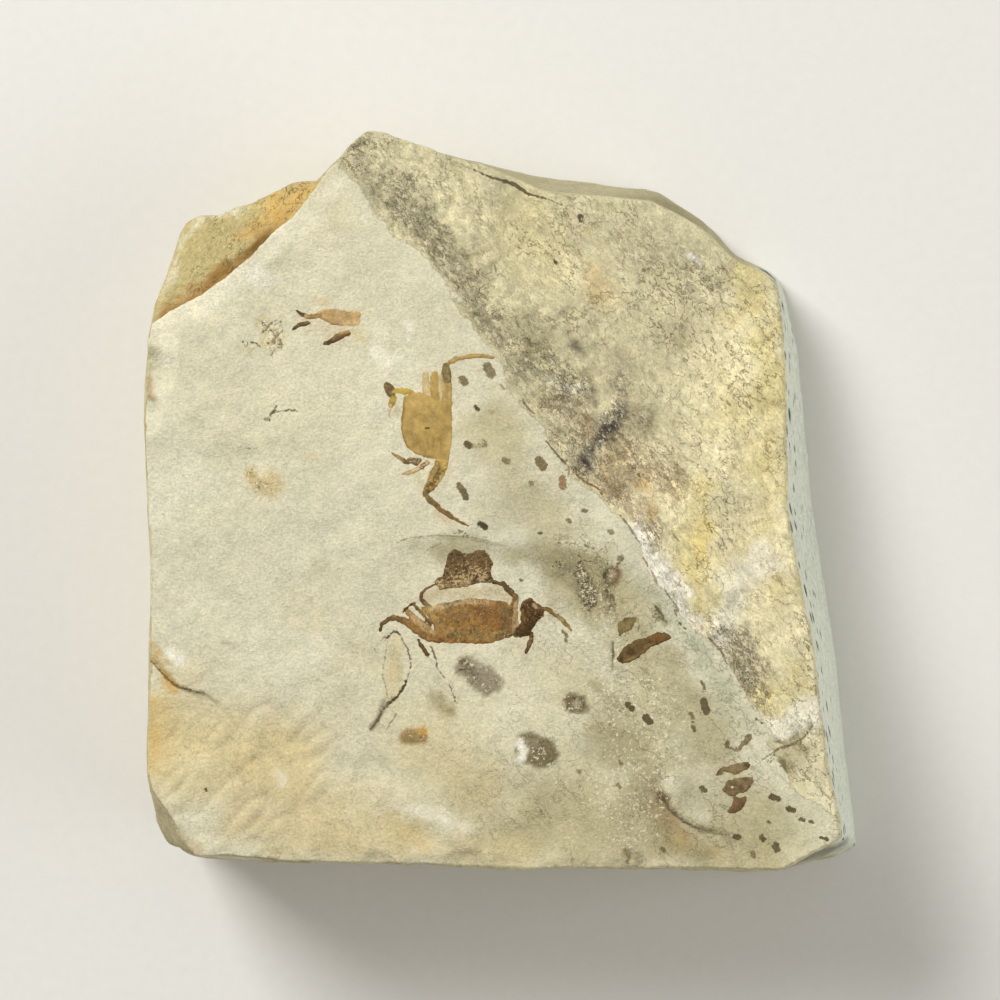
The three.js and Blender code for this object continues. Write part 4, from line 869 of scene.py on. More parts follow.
UPPER_CRAB = [
    # folded legs above the shell, side by side
    strip([(-8.75, 13.4), (-8.75, 12.3), (-8.4, 10.9)], [0.6, 0.8, 0.9], 0.1, "pale skin",
          "gold skin", ("pink skin", 0.5, 0.6)),
    strip([(-7.85, 13.35), (-7.9, 12.3), (-7.7, 10.6)], [0.7, 0.8, 0.9], 0.13, "gold skin",
          "gold skin", ("bright gold skin", 0.5, 0.5)),
    strip([(-7.25, 13.1), (-7.2, 12), (-7, 10.5)], [0.5, 0.55, 0.5], 0.06, "pale skin",
          "pale skin"),
    strip([(-6.65, 13.2), (-6.6, 12), (-6.55, 10.2)], [0.9, 0.95, 1], 0.14, "gold skin",
          "gold skin", ("pale skin", 0.35, 0.6)),
    strip([(-6.65, 14.3), (-6.65, 13.6), (-6.6, 12.9)], [0.7, 0.95, 0.9], 0.2, "olive skin",
          "dark skin", ("dark skin", 0.35, 0.7), 0.4),
    strip([(-6.4, 14.5), (-5.6, 14.9), (-4.8, 15.1), (-4, 15.2), (-3.1, 15.2),
           (-2, 15.05)],
          [0.5, 0.55, 0.5, 0.5, 0.42, 0.25], 0.14, "gold skin", "gold rim",
          ("pink skin", 0.4, 0.5)),
    # claw
    strip([(-12.6, 12.3), (-12.3, 11.8), (-12, 11.2)], [0.7, 0.95, 0.6], 0.2, "dark skin",
          "darkest skin", ("olive skin", 0.35, 0.6), 0.4),
    strip([(-11.9, 11.65), (-11.1, 11.7), (-10.2, 11.6)], [0.4, 0.62, 0.5], 0.12,
          "bright gold skin", "bright gold skin"),
    strip([(-11.9, 11), (-12.1, 10.5), (-12.3, 10.1)], [0.6, 0.7, 0.4], 0.1,
          "bright gold skin", "gold skin", ("dark skin", 0.4, 0.5)),
    strip([(-12.25, 10.2), (-12.4, 8.9)], [0.3, 0.06], 0.05, "pink skin", "pink skin"),
    # legs below it
    strip([(-12.4, 5.65), (-11.5, 5.1), (-10.5, 4.5)], [0.1, 0.34, 0.4], 0.14, "olive skin",
          "brown skin", ("pale skin", 0.3, 0.5), 0.2),
    strip([(-10.4, 4.8), (-9.7, 4.6), (-9.3, 4.8)], [0.5, 0.8, 0.5], 0.15, "pale skin",
          "brown skin", ("dark skin", 0.3, 0.8), 0.4),
    strip([(-11, 3.4), (-10.1, 3.6), (-9.3, 4), (-8.6, 4.5)], [0.25, 0.45, 0.55, 0.5],
          0.1, "pink skin", "brown skin", ("pale skin", 0.3, 0.8), 0.3),
    strip([(-7, 5.2), (-7.2, 4.2), (-7.7, 3.2), (-8.2, 2.3), (-8.8, 1.4)],
          [1.3, 1.4, 1.4, 1.1, 0.6], 0.14, "gold skin", "brown skin",
          ("brown skin", 0.35, 0.7), 0.5),
    strip([(-8.7, 1.3), (-8.3, 0.8), (-7.5, 0.1)], [0.4, 0.66, 0.6], 0.13, "olive skin",
          "brown skin", ("dark skin", 0.3, 0.7), 0.4),
    strip([(-7.7, 0.2), (-6.6, -0.6), (-5.4, -1.35), (-4.5, -1.75)], [0.5, 0.5, 0.36, 0.16],
          0.12, "brown skin", "dark skin", ("dark skin", 0.4, 0.7), 0.3),
    # shell
    plate([(-10.95, 11), (-10.3, 11.5), (-9.4, 11.65), (-8.6, 11.3), (-8, 10.9),
           (-7.2, 10.65), (-6.6, 10.7), (-6.1, 10.5), (-6.08, 9), (-6.1, 7), (-6.25, 5.4),
           (-6.8, 4.9), (-7.9, 4.95), (-9, 5.05), (-9.8, 5.4), (-10.5, 6), (-10.95, 6.9),
           (-11.2, 7.8), (-11.2, 8.8), (-11, 9.9)],
          0.16, "gold skin", "gold skin", ("deep gold skin", 1.6, 0.4), 0, 0.2),
]
UPPER_CRAB_TOUCHES = [
    ([(-10.9, 11), (-10.95, 10), (-11.1, 8.4), (-11.1, 7.4), (-10.6, 6.2), (-10.1, 5.4)],
     0.1, 0.16, "gold rim", 0.9),
    ([(-6.1, 11.2), (-6.05, 8.5), (-6.1, 6.5), (-6.35, 5)], 0.05, 0.1, "gold rim", 0.5),
    ([(-6.3, 5.5), (-6.25, 4.4), (-6.7, 3)], 0.08, 0.12, "dark skin", 0.75),
    ([(-10.8, 11.2), (-9.6, 11.3)], 0.12, 0.25, "bright gold skin", 0.6),
    ([(-10.4, 5.8), (-9.2, 5.1), (-8, 5.2)], 0.15, 0.3, "brown skin", 0.5),
    ([(-7.1, 4.6), (-6.8, 3.7)], 0.28, 0.4, "bright gold skin", 0.8),
    ([(-8.7, 8), (-8.4, 8)], 0.1, 0.1, "darkest skin", 0.95),
    ([(-5.8, 14.8), (-4.2, 15.05), (-2.6, 15.1)], 0.05, 0.1, "gold rim", 0.6),
    ([(-9.15, 13.3), (-9.15, 12.3), (-8.95, 11.4)], 0.06, 0.12, "gold rim", 0.7),
    ([(-8.3, 13.2), (-8.3, 12.2), (-8.1, 11.2)], 0.04, 0.12, "gold rim", 0.7),
    ([(-7.45, 13.1), (-7.5, 12), (-7.4, 10.9)], 0.04, 0.1, "gold rim", 0.55),
    ([(-7.05, 12.8), (-7.05, 11.6), (-7, 10.6)], 0.04, 0.1, "gold rim", 0.6),
    ([(-6.6, 12.8), (-6.6, 11.4), (-6.6, 10.4)], 0.04, 0.1, "gold rim", 0.5),
    ([(-8.6, 6.9), (-8.4, 5.8)], 0.06, 0.12, "gold rim", 0.5),
    ([(-7.9, 7), (-8, 5.9), (-7.8, 5.2)], 0.06, 0.12, "gold rim", 0.5),
    ([(-7.2, 6.8), (-7.2, 5.4)], 0.06, 0.12, "gold rim", 0.5),
    ([(-9.4, 6.5), (-9.2, 5.6)], 0.06, 0.12, "gold rim", 0.4),
    ([(-4.6, -1.75), (-4.2, -1.95)], 0.12, 0.12, "darkest skin", 0.8),
]
UPPER_CRAB_GRAINS = [
    ([(-7.2, 3.8), (-8.6, 1.6)], 0.5, 0.5, "darkest skin", 0.6),
    ([(-10.6, 4.6), (-9, 4.2)], 0.5, 0.5, "darkest skin", 0.6),
    ([(-6.7, 14), (-6.5, 13.2)], 0.3, 0.4, "darkest skin", 0.3),
]

SHELL_FRAGMENT = [
    plate([(-20, 19.3), (-19.4, 19.8), (-17.8, 19.9), (-16.2, 19.7), (-15.3, 19.6),
           (-15.3, 18.7), (-15.5, 18.3), (-16.6, 18.2), (-18.1, 18.3), (-18.9, 18.8),
           (-19.4, 19)],
          0.14, "tan skin", "tan skin", ("pink skin", 0.6, 0.7), 0.08),
    strip([(-21.6, 19.75), (-21.1, 19.3), (-20.2, 19.1), (-19.2, 19.3)],
          [0.3, 0.5, 0.5, 0.4], 0.13, "tan skin", "brown skin", ("dark skin", 0.4, 0.5), 0.1),
]
SHELL_FRAGMENT_TOUCHES = [
    ([(-19.4, 19), (-18.8, 18.7), (-18.1, 18.3), (-17.6, 18.3)], 0.1, 0.25, "red brown", 0.6),
    ([(-21.7, 19.9), (-21.3, 19.5), (-21, 19.3)], 0.16, 0.16, "darkest skin", 0.85),
    ([(-21, 19.5), (-20.6, 19.6)], 0.14, 0.14, "darkest skin", 0.7),
    ([(-20.4, 18.9), (-20, 18.8)], 0.08, 0.1, "dark skin", 0.6),
    ([(-15.3, 19.6), (-15.3, 18.9)], 0.06, 0.12, "olive skin", 0.6),
    ([(-18.9, 19.4), (-17.5, 19.2)], 0.1, 0.2, "gold rim", 0.35),
]
LEFT_JOINT = [
    strip([(-22.05, 17.85), (-21.4, 18.3), (-20.6, 18.5), (-20.3, 18.5)],
          [0.12, 0.46, 0.5, 0.3], 0.13, "dark skin", "dark skin", ("olive skin", 0.35, 0.7), 0.2),
]
LEFT_JOINT_TOUCHES = [([(-22, 17.9), (-21.6, 18.2)], 0.1, 0.1, "ink", 0.9)]
RIGHT_JOINT = [
    strip([(-18.9, 16.4), (-18, 16.8), (-17.2, 17.3), (-16.5, 17.5)],
          [0.3, 0.62, 0.75, 0.6], 0.14, "dark skin", "dark skin", ("gold rim", 0.4, 0.8), 0.15),
]
RIGHT_JOINT_TOUCHES = [
    ([(-17.2, 17.6), (-16.5, 17.7)], 0.15, 0.25, "gold skin", 0.7),
    ([(-18.4, 16.6), (-17.7, 16.7)], 0.14, 0.2, "darkest skin", 0.8),
    ([(-16.9, 17.1), (-16.4, 17.2)], 0.12, 0.2, "red skin", 0.6),
]

LONG_FLAKE = [
    plate([(10.4, -15.1), (10.9, -14.2), (11.4, -13.7), (12.4, -13.15), (13.1, -12.95),
           (13.8, -12.8), (14.4, -12.5), (15.2, -12.45), (15.7, -12.75), (15.85, -13),
           (15.4, -13.35), (14.4, -13.7), (13.8, -14), (13.4, -14.4), (12.5, -15),
           (11.6, -15.5), (11, -15.6), (10.6, -15.5)],
          0.26, "purple skin", "darkest skin", ("brown skin", 0.7, 0.6), 0.1, 0.1),
]
LONG_FLAKE_TOUCHES = [
    ([(13.9, -13), (14.8, -13.1)], 0.28, 0.4, "red skin", 0.85),
    ([(12.2, -13.5), (13.4, -13.4)], 0.2, 0.3, "purple skin", 0.8),
    ([(11.4, -14.5), (11.9, -14.4)], 0.2, 0.35, "darkest skin", 0.8),
    ([(10.9, -14.6), (10.8, -15.2)], 0.15, 0.25, "darkest skin", 0.6),
    ([(11.2, -15.3), (12.3, -14.9), (13, -14.4)], 0.12, 0.2, "olive skin", 0.5),
    ([(13.2, -13.9), (14.2, -13.5)], 0.1, 0.14, "gold rim", 0.6),
]
RIBBED_FLAKE = [
    plate([(10.5, -12.8), (10.5, -11.5), (11, -11.1), (11.5, -10.95), (11.9, -10.95),
           (12.3, -11), (12.3, -11.4), (12, -11.8), (11.85, -12.2), (11.5, -12.35),
           (11.1, -12.6), (10.75, -12.9)],
          0.2, "olive skin", "dark skin", ("dark skin", 0.4, 0.5), 0.1),
]
RIBBED_FLAKE_TOUCHES = [
    ([(10.75 + 0.24 * n, -11.1 + 0.03 * n), (10.7 + 0.2 * n, -12.4 + 0.12 * n)],
     0.03, 0.1, "darkest skin", 0.7)
    for n in range(6)
]
TOP_CLAW_FLAKE = [
    plate([(20.2, -26.75), (20.5, -26.35), (20.8, -25.95), (21.05, -25.8), (21.3, -25.95),
           (21.75, -25.8), (22.1, -25.6), (22.8, -25.55), (23.2, -25.45), (23.6, -25.4),
           (23.8, -25.7), (23.6, -26.05), (23.1, -26.25), (22.7, -26.6), (22.3, -26.75),
           (21.8, -26.5), (21.2, -26.35), (20.95, -26.65), (20.5, -26.8)],
          0.2, "dull skin", "brown skin", ("olive skin", 0.5, 0.5), 0.15),
]
MIDDLE_CLAW_FLAKE = [
    plate([(20.85, -28.2), (21.2, -27.8), (21.4, -27.35), (21.7, -27.25), (22, -27.15),
           (22.5, -27), (23.3, -26.95), (23.9, -27), (24.1, -27.3), (24, -27.7),
           (23.6, -28.15), (23.1, -28.45), (22.4, -28.6), (22.25, -28.85), (21.6, -28.85),
           (21.2, -28.5)],
          0.24, "dull skin", "dark skin", ("purple skin", 0.6, 0.6), 0.2),
]
BOTTOM_CLAW_FLAKE = [
    plate([(22, -28.95), (22.6, -29), (23.3, -28.95), (23.4, -29.25), (23.2, -29.7),
           (22.8, -30.15), (22.3, -30.5), (21.7, -30.6), (21.35, -30.35), (21.8, -29.9),
           (22.05, -29.3)],
          0.24, "dark skin", "dark skin", ("brown skin", 0.6, 0.4), 0.08),
]
CLAW_FLAKE_TOUCHES = [
    ([(20.3, -26.7), (20.9, -26.1)], 0.12, 0.2, "darkest skin", 0.7),
    ([(23.3, -25.7), (23.6, -25.8)], 0.14, 0.2, "darkest skin", 0.6),
    ([(21.9, -27.95), (22, -27.95)], 0.08, 0.06, "cream grain", 0.9),
    ([(22.3, -27.6), (22.9, -28.1)], 0.2, 0.4, "purple skin", 0.7),
    ([(22.6, -29.8), (22.9, -29.9)], 0.1, 0.2, "red skin", 0.5),
]

# ---- nodes ----

# Grains show where a noise passes a level. Each pair gives that level at no share of grains and
# at a full one.
CLOT_FROM = (0.76, 0.4)       # clots of grains
SEAM_FROM = (0.68, 0.3)       # stain between the crust's grains
CLOT_EDGE = 0.09              # how far past that level they show in full
SKIN_CLOT_EDGE = 0.07         # the same on the fossils' skin
CRUST_TONES = (0.55, 1.4)     # how dark and how light single grains of the crust are

RIM_WAVE = 0.5 * MM           # length over which the rim between two faces wavers
RIM_WAVER = 0.5               # and how far it does, in millimetres
BLOTCH = 1.4 * MM             # size of the cloudier blotches on the stone
SKIN_BLOTCH = 0.7 * MM        # and on the fossils' skin
HUE = 0.2                     # how far the stone's grains differ in hue
SKIN_HUE = 0.08               # and the skin's
VEIN_TINT = (0.42, 0.34, 0.22)    # what a vein leaves of the stone's colour
VEIN_WIDEST = 0.06            # width of the widest veins, and what is taken off all of them
VEIN_CUT = 0.018
STRIKE = math.radians(-45)    # veins and crust grains are drawn out along the joint face
DRAWN_OUT = 1.5               # and are this much longer than wide
MARK_EDGE = (0.05, -0.06)     # millimetres from a mark's edge where it begins and is full
MARK_TONES = (0.62, 1.5)      # how dark and how light the grains of a mark are


def add(tree, kind, inputs, **settings):
    """Add a node with its settings, and return its outputs. Inputs are values or sockets."""
    node = tree.nodes.new("ShaderNode" + kind)
    for name, value in settings.items():
        setattr(node, name, value)
    for name, value in inputs.items():
        if isinstance(value, bpy.types.NodeSocket):
            tree.links.new(value, node.inputs[name])
        else:
            node.inputs[name].default_value = value
    return node.outputs


def start_material(name, tones=(), levels=()):
    """An empty material, with the place and the tones and levels stored on the mesh."""
    material = bpy.data.materials.get(name) or bpy.data.materials.new(name)
    material.use_nodes = True
    tree = material.node_tree
    tree.nodes.clear()
    coord = add(tree, "TexCoord", {})["Object"]
    tint = {name: add(tree, "Attribute", {}, attribute_name=name)["Color"] for name in tones}
    level = {name: add(tree, "Attribute", {}, attribute_name=name)["Fac"] for name in levels}
    return material, tree, coord, tint, level


def finish_material(tree, colour, roughness, specular, **bump):
    """A surface of one colour, with its constants on the shader's own sockets."""
    surface = {
        "Base Color": colour, "Roughness": roughness, "Specular IOR Level": specular,
        "IOR": 1.5,
    }
    if bump:
        surface["Normal"] = add(tree, "Bump", bump)["Normal"]
    shader = add(tree, "BsdfPrincipled", surface)
    add(tree, "OutputMaterial", {"Surface": shader["BSDF"]})


def strew(tree, ground, colour, noise, share, ends, edge, strength):
    """Grains of a colour over the ground wherever a noise passes a level set by their share."""
    least = add(tree, "MapRange", {
        "Value": share, "To Min": ends[0], "To Max": ends[1],
    })["Result"]
    most = add(tree, "Math", {0: least, 1: edge}, operation="ADD")[0]
    amount = add(tree, "MapRange", {
        "Value": noise, "From Min": least, "From Max": most, "To Max": strength,
    })["Result"]
    return add(tree, "Mix", {"Factor": amount, "A": ground, "B": colour},
               data_type="RGBA")["Result"]


def mottle(tree, colour, place, size, contrast, hue):
    """Vary a colour in lightness, and a little in hue, over grains of one size."""
    grain = add(tree, "TexNoise", {
        "Vector": place, "Scale": 1 / size, "Detail": 4, "Roughness": 0.7,
    })
    swing = add(tree, "VectorMath", {0: grain["Color"], 1: (hue,) * 3, 2: grain["Fac"]},
                operation="MULTIPLY_ADD")[0]
    swing = add(tree, "VectorMath", {0: swing, 1: (0.5 + hue / 2,) * 3},
                operation="SUBTRACT")[0]
    swing = add(tree, "VectorMath", {0: swing, "Scale": contrast}, operation="SCALE")[0]
    level = add(tree, "VectorMath", {0: swing, 1: (1.0, 1.0, 1.0)}, operation="ADD")[0]
    varied = add(tree, "VectorMath", {0: colour, 1: level}, operation="MULTIPLY")[0]
    return varied, grain["Fac"]


def mudstone_material(stone):
    """Mudstone: clay and silt too fine to see, matt, with scattered dark and glinting grains.

    Broken bedding planes show soft stains and specks of carbon. The weathered joint face is
    rough with crust and stained by manganese and iron.
    """
    material, tree, coord, tint, level = start_material(
        "mudstone_split_and_weathered", ("bed_tint", "side_tint", "dark_tone", "mark_tone"),
        ("off_bed", "contrast", "vein_share", "dark_share", "bright_share", "mark_gap",
         "mark_half", "mark_strength"),
    )

    # which face: crisp along the rim, with a slightly ragged line
    edge_noise = add(tree, "TexNoise", {
        "Vector": coord, "Scale": 1 / RIM_WAVE, "Detail": 3, "Roughness": 0.7,
    })["Fac"]
    ragged = add(tree, "Math", {0: edge_noise, 1: RIM_WAVER, 2: -RIM_WAVER / 2},
                 operation="MULTIPLY_ADD")[0]
    rim = add(tree, "Math", {0: level["off_bed"], 1: ragged}, operation="ADD")[0]
    on_side = add(tree, "MapRange", {"Value": rim, "From Min": 0.0, "From Max": 0.06})["Result"]
    ground = add(tree, "Mix", {
        "Factor": on_side, "A": tint["bed_tint"], "B": tint["side_tint"],
    }, data_type="RGBA")["Result"]

    # grain, and cloudier blotches
    ground, fine = mottle(tree, ground, coord, stone.grain, level["contrast"], HUE)
    half = add(tree, "Math", {0: level["contrast"], 1: 0.5}, operation="MULTIPLY")[0]
    ground = mottle(tree, ground, coord, BLOTCH, half, HUE)[0]

    # thin broken veins, some of them open cracks
    drawn = add(tree, "Mapping", {
        "Vector": coord, "Rotation": (0, 0, STRIKE), "Scale": (DRAWN_OUT, 1.0, 1.0),
    }, vector_type="TEXTURE")["Vector"]
    veins = add(tree, "TexNoise", {
        "Vector": drawn, "Scale": 1 / stone.vein_spacing, "Detail": 4, "Roughness": 0.6,
    })["Color"]
    vein = add(tree, "SeparateColor", {"Color": veins})
    way_off = add(tree, "Math", {0: vein["Red"], 1: 0.5}, operation="SUBTRACT")[0]
    way_off = add(tree, "Math", {0: way_off}, operation="ABSOLUTE")[0]
    widest = add(tree, "Math", {0: vein["Green"], 1: VEIN_WIDEST, 2: -VEIN_CUT},
                 operation="MULTIPLY_ADD")[0]
    vein = add(tree, "MapRange", {
        "Value": way_off, "From Min": widest, "From Max": 0.0, "To Max": level["vein_share"],
    })["Result"]
    veined = add(tree, "VectorMath", {0: ground, 1: VEIN_TINT}, operation="MULTIPLY")[0]
    ground = add(tree, "Mix", {"Factor": vein, "A": ground, "B": veined},
                 data_type="RGBA")["Result"]

    # the crust of the joint face: packed grains, each with its own tone
    grain_place = add(tree, "Mix", {"Factor": on_side, "A": coord, "B": drawn},
                      data_type="VECTOR")["Result"]
    clots = add(tree, "TexNoise", {
        "Vector": grain_place, "Scale": 1 / stone.dark_grain, "Detail": 2, "Roughness": 0.75,
    })["Color"]
    clot = add(tree, "SeparateColor", {"Color": clots})
    bent = add(tree, "VectorMath", {
        0: clots, 1: (2.2 * stone.crust_grain,) * 3, 2: grain_place,
    }, operation="MULTIPLY_ADD")[0]
    packed = {"Vector": bent, "Scale": 1 / stone.crust_grain}
    mound = add(tree, "TexVoronoi", packed, feature="DISTANCE_TO_EDGE")["Distance"]
    uneven = add(tree, "Math", {0: clot["Green"], 1: 0.9, 2: 0.15}, operation="MULTIPLY_ADD")[0]
    seam = add(tree, "Math", {0: uneven, 1: mound}, operation="SUBTRACT")[0]
    own_tone = add(tree, "TexVoronoi", packed)["Color"]
    own_tone = add(tree, "SeparateColor", {"Color": own_tone})["Red"]
    own_tone = add(tree, "MapRange", {
        "Value": own_tone, "To Min": CRUST_TONES[0], "To Max": CRUST_TONES[1],
    })["Result"]
    grainy = add(tree, "VectorMath", {0: ground, "Scale": own_tone}, operation="SCALE")[0]
    crust_share = add(tree, "Math", {0: level["dark_share"], 1: on_side},
                      operation="MULTIPLY")[0]
    grainy_share = add(tree, "Math", {0: crust_share, 1: 2.5}, operation="MULTIPLY",
                       use_clamp=True)[0]
    ground = add(tree, "Mix", {"Factor": grainy_share, "A": ground, "B": grainy},
                 data_type="RGBA")["Result"]

    # clots of dark grains on the beds, stain between the crust's grains, and pale grains
    dark = add(tree, "Mix", {"Factor": on_side, "A": clot["Red"], "B": seam})["Result"]
    dark_from = [
        add(tree, "Mix", {"Factor": on_side, "A": on_bed, "B": on_crust})["Result"]
        for on_bed, on_crust in zip(CLOT_FROM, SEAM_FROM)
    ]
    ground = strew(tree, ground, tint["dark_tone"], dark, level["dark_share"], dark_from,
                   CLOT_EDGE, 0.8)
    # pale grains, partly the stone's own and partly painted glints
    ground = strew(tree, ground, (*linear(TONES["cream grain"]), 1), clot["Green"],
                   level["bright_share"], CLOT_FROM, CLOT_EDGE, 0.75)

    # marks: crisp at any size, since each place knows the way to its nearest mark
    way = add(tree, "Attribute", {}, attribute_name="mark_way")["Vector"]
    length = add(tree, "VectorMath", {0: way}, operation="LENGTH")["Value"]
    crisp = add(tree, "Math", {0: length, 1: level["mark_half"]}, operation="SUBTRACT")[0]
    guard = add(tree, "Math", {0: level["mark_gap"], 1: 0.25}, operation="SUBTRACT")[0]
    near = add(tree, "Math", {0: crisp, 1: guard}, operation="MAXIMUM")[0]
    for shape, size in ((fine, 0.26), (clot["Blue"], 0.5)):
        wobble = add(tree, "Math", {0: shape, 1: size, 2: -size / 2},
                     operation="MULTIPLY_ADD")[0]
        near = add(tree, "Math", {0: near, 1: wobble}, operation="ADD")[0]
    inked = add(tree, "MapRange", {
        "Value": near, "From Min": MARK_EDGE[0], "From Max": MARK_EDGE[1],
    })["Result"]
    inked = add(tree, "Math", {0: inked, 1: level["mark_strength"]}, operation="MULTIPLY")[0]
    speckle = add(tree, "MapRange", {
        "Value": fine, "From Min": 0.3, "From Max": 0.7, "To Min": MARK_TONES[0],
        "To Max": MARK_TONES[1],
    })["Result"]
    ink = add(tree, "VectorMath", {0: tint["mark_tone"], "Scale": speckle},
              operation="SCALE")[0]
    ground = add(tree, "Mix", {"Factor": inked, "A": ground, "B": ink},
                 data_type="RGBA")["Result"]

    # the grain stands up, veins are sunk, and the crust's grains are small mounds
    height = add(tree, "Math", {0: clot["Blue"], 1: fine}, operation="ADD")[0]
    height = add(tree, "Math", {0: height, 1: level["contrast"]}, operation="MULTIPLY")[0]
    height = add(tree, "Math", {0: height, 1: vein}, operation="SUBTRACT")[0]
    mound = add(tree, "Math", {0: mound, 1: crust_share}, operation="MULTIPLY")[0]
    height = add(tree, "Math", {0: mound, 1: 4.0, 2: height}, operation="MULTIPLY_ADD")[0]
    finish_material(tree, ground, roughness=0.92, specular=0.25, Height=height, Strength=1.0,
                    Distance=stone.grain_height)
    return material


def cuticle_material(name, roughness, fossils):
    """Pressed crab skin: thin, dense and faintly waxy, with pits and grains of stone in it."""
    material, tree, coord, tint, level = start_material(
        name, ("skin_tint", "dark_tone"), ("contrast", "bright_share", "dark_share"))
    skin, fine = mottle(tree, tint["skin_tint"], coord, fossils.pit, level["contrast"], SKIN_HUE)
    half = add(tree, "Math", {0: level["contrast"], 1: 0.6}, operation="MULTIPLY")[0]
    skin = mottle(tree, skin, coord, SKIN_BLOTCH, half, SKIN_HUE)[0]
    clots = add(tree, "TexNoise", {
        "Vector": coord, "Scale": 1 / fossils.glint, "Detail": 2, "Roughness": 0.7,
    })["Color"]
    clot = add(tree, "SeparateColor", {"Color": clots})
    for share, colour, channel in (
        ("bright_share", (*linear(TONES["pale skin"]), 1), "Green"),
        ("dark_share", tint["dark_tone"], "Red"),
    ):
        skin = strew(tree, skin, colour, clot[channel], level[share], CLOT_FROM,
                     SKIN_CLOT_EDGE, 0.75)
    finish_material(tree, skin, roughness, specular=0.2, Height=fine, Strength=0.8,
                    Distance=fossils.pit_depth)
    return material


# ---- painting by place ----

MARK_REACH = 1.6              # a mark is known this far round it
MARK_DEPTH = 0.6              # and this far down a wall
FAR_OFF = 9.0                 # distance given to places that are near nothing


def tone_of(name):
    return np.array(linear(TONES[name]))


def near_line(x, y, line, reach):
    """Which places lie within reach of a line's box."""
    points = np.asarray(line, float)
    low = points.min(0) - reach
    high = points.max(0) + reach
    return (x > low[0]) & (x < high[0]) & (y > low[1]) & (y < high[1])


def coverage(x, y, line, half_width, soft, warp):
    """How much of each place a stain or patch along a line covers, with a wavering edge."""
    gap = to_line(x, y, line)[0] + warp * rough(x, y, 11.0, max(0.7, soft * 0.8), 3)
    return 1 - smooth(gap, half_width - 0.5 * soft, half_width + 0.5 * soft)


def paint(colours, x, y, stains):
    """Lay soft stains over the colours, one after another."""
    for line, half_width, soft, tone, strength in stains:
        here = near_line(x, y, line, half_width + 2 * soft)
        warp = max(0.5 * soft, min(0.3, 0.3 * half_width))
        cover = strength * coverage(x[here], y[here], line, half_width, soft, warp)
        colours[here] += cover[:, None] * (tone_of(tone) - colours[here])


def gather_grains(x, y, patches, where, share, tones):
    """Raise the share of dark grains within patches, and set their tone."""
    for line, half_width, soft, tone, most in patches:
        here = near_line(x, y, line, half_width + 2 * soft)
        cover = coverage(x[here], y[here], line, half_width, soft, 0.5 * soft) * where[here]
        amount = 1.5 * cover * most
        stronger = amount > share[here]
        share[here] = np.maximum(share[here], np.minimum(amount, 1))
        tones[here] = np.where(stronger[:, None], tone_of(tone), tones[here])


def nearest_marks(x, y, z, top):
    """For each place, the way to the nearest mark and that mark's width, tone and strength."""
    count = len(x)
    gap = np.full(count, FAR_OFF)
    way = np.zeros((count, 3))
    way[:, 0] = FAR_OFF
    half = np.zeros(count)
    strength = np.zeros(count)
    tones = np.tile(tone_of("ink"), (count, 1))
    marks = [(tone, *mark) for tone, group in MARKS.items() for mark in group]
    for tone, line, width, amount in marks:
        here = np.flatnonzero(near_line(x, y, line, MARK_REACH) & (top - z < MARK_DEPTH))
        if not len(here):
            continue
        distance, across, up, along = to_line(x[here], y[here], line)
        widths = np.atleast_1d(width)
        half_here = np.interp(along, np.arange(len(widths)), widths) / 2
        closer = distance - half_here < gap[here]
        chosen = here[closer]
        gap[chosen] = (distance - half_here)[closer]
        way[chosen, 0] = across[closer]
        way[chosen, 1] = up[closer]
        half[chosen] = half_here[closer]
        strength[chosen] = amount
        tones[chosen] = tone_of(tone)
    return gap, way, half, strength, tones


# ---- meshes ----


def show(name, shape, material, node):
    """Put a finished shape in the scene, in metres, in place of the solid it stands for."""
    mesh = bpy.data.meshes.new(name)
    shape.to_mesh(mesh)
    shape.free()
    mesh.materials.append(material)
    piece = bpy.data.objects.new(name, mesh)
    bpy.context.scene.collection.objects.link(piece)
    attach(piece, "root")
    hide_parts(node)
    return piece


def copy_of(node):
    """A node's solid in millimetres, with its doubled vertices merged."""
    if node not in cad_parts:
        raise RuntimeError(f"the frame has no node called {node}")
    shape = bmesh.new()
    shape.from_mesh(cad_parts[node].data)
    bmesh.ops.scale(shape, vec=(1 / MM,) * 3, verts=shape.verts)
    bmesh.ops.remove_doubles(shape, verts=shape.verts, dist=0.001)
    bmesh.ops.recalc_face_normals(shape, faces=shape.faces)
    return shape


def even_out(shape, spacing):
    """The same solid in even quads, with its plain facets rounded off."""
    mesh = bpy.data.meshes.new("uneven")
    shape.to_mesh(mesh)
    holder = bpy.data.objects.new("uneven", mesh)
    bpy.context.scene.collection.objects.link(holder)
    remesh = holder.modifiers.new("quads", "REMESH")
    remesh.mode = "VOXEL"
    remesh.voxel_size = spacing
    rounding = holder.modifiers.new("rounded", "SMOOTH")
    rounding.factor = 0.5
    rounding.iterations = 4
    depsgraph = bpy.context.evaluated_depsgraph_get()
    even = bpy.data.meshes.new_from_object(holder.evaluated_get(depsgraph))
    shape.clear()
    shape.from_mesh(even)
    bpy.data.objects.remove(holder)
    bpy.data.meshes.remove(mesh)
    bpy.data.meshes.remove(even)


def places_of(shape):
    """A shape's vertices as three arrays."""
    return np.array([tuple(vertex.co) for vertex in shape.verts]).T


def place_at(shape, places):
    """Move a shape's vertices."""
    for vertex, place in zip(shape.verts, places.T.tolist()):
        vertex.co = place
    shape.normal_update()


def normals_of(shape):
    return np.array([tuple(vertex.normal) for vertex in shape.verts]).T


# ---- the stone ----

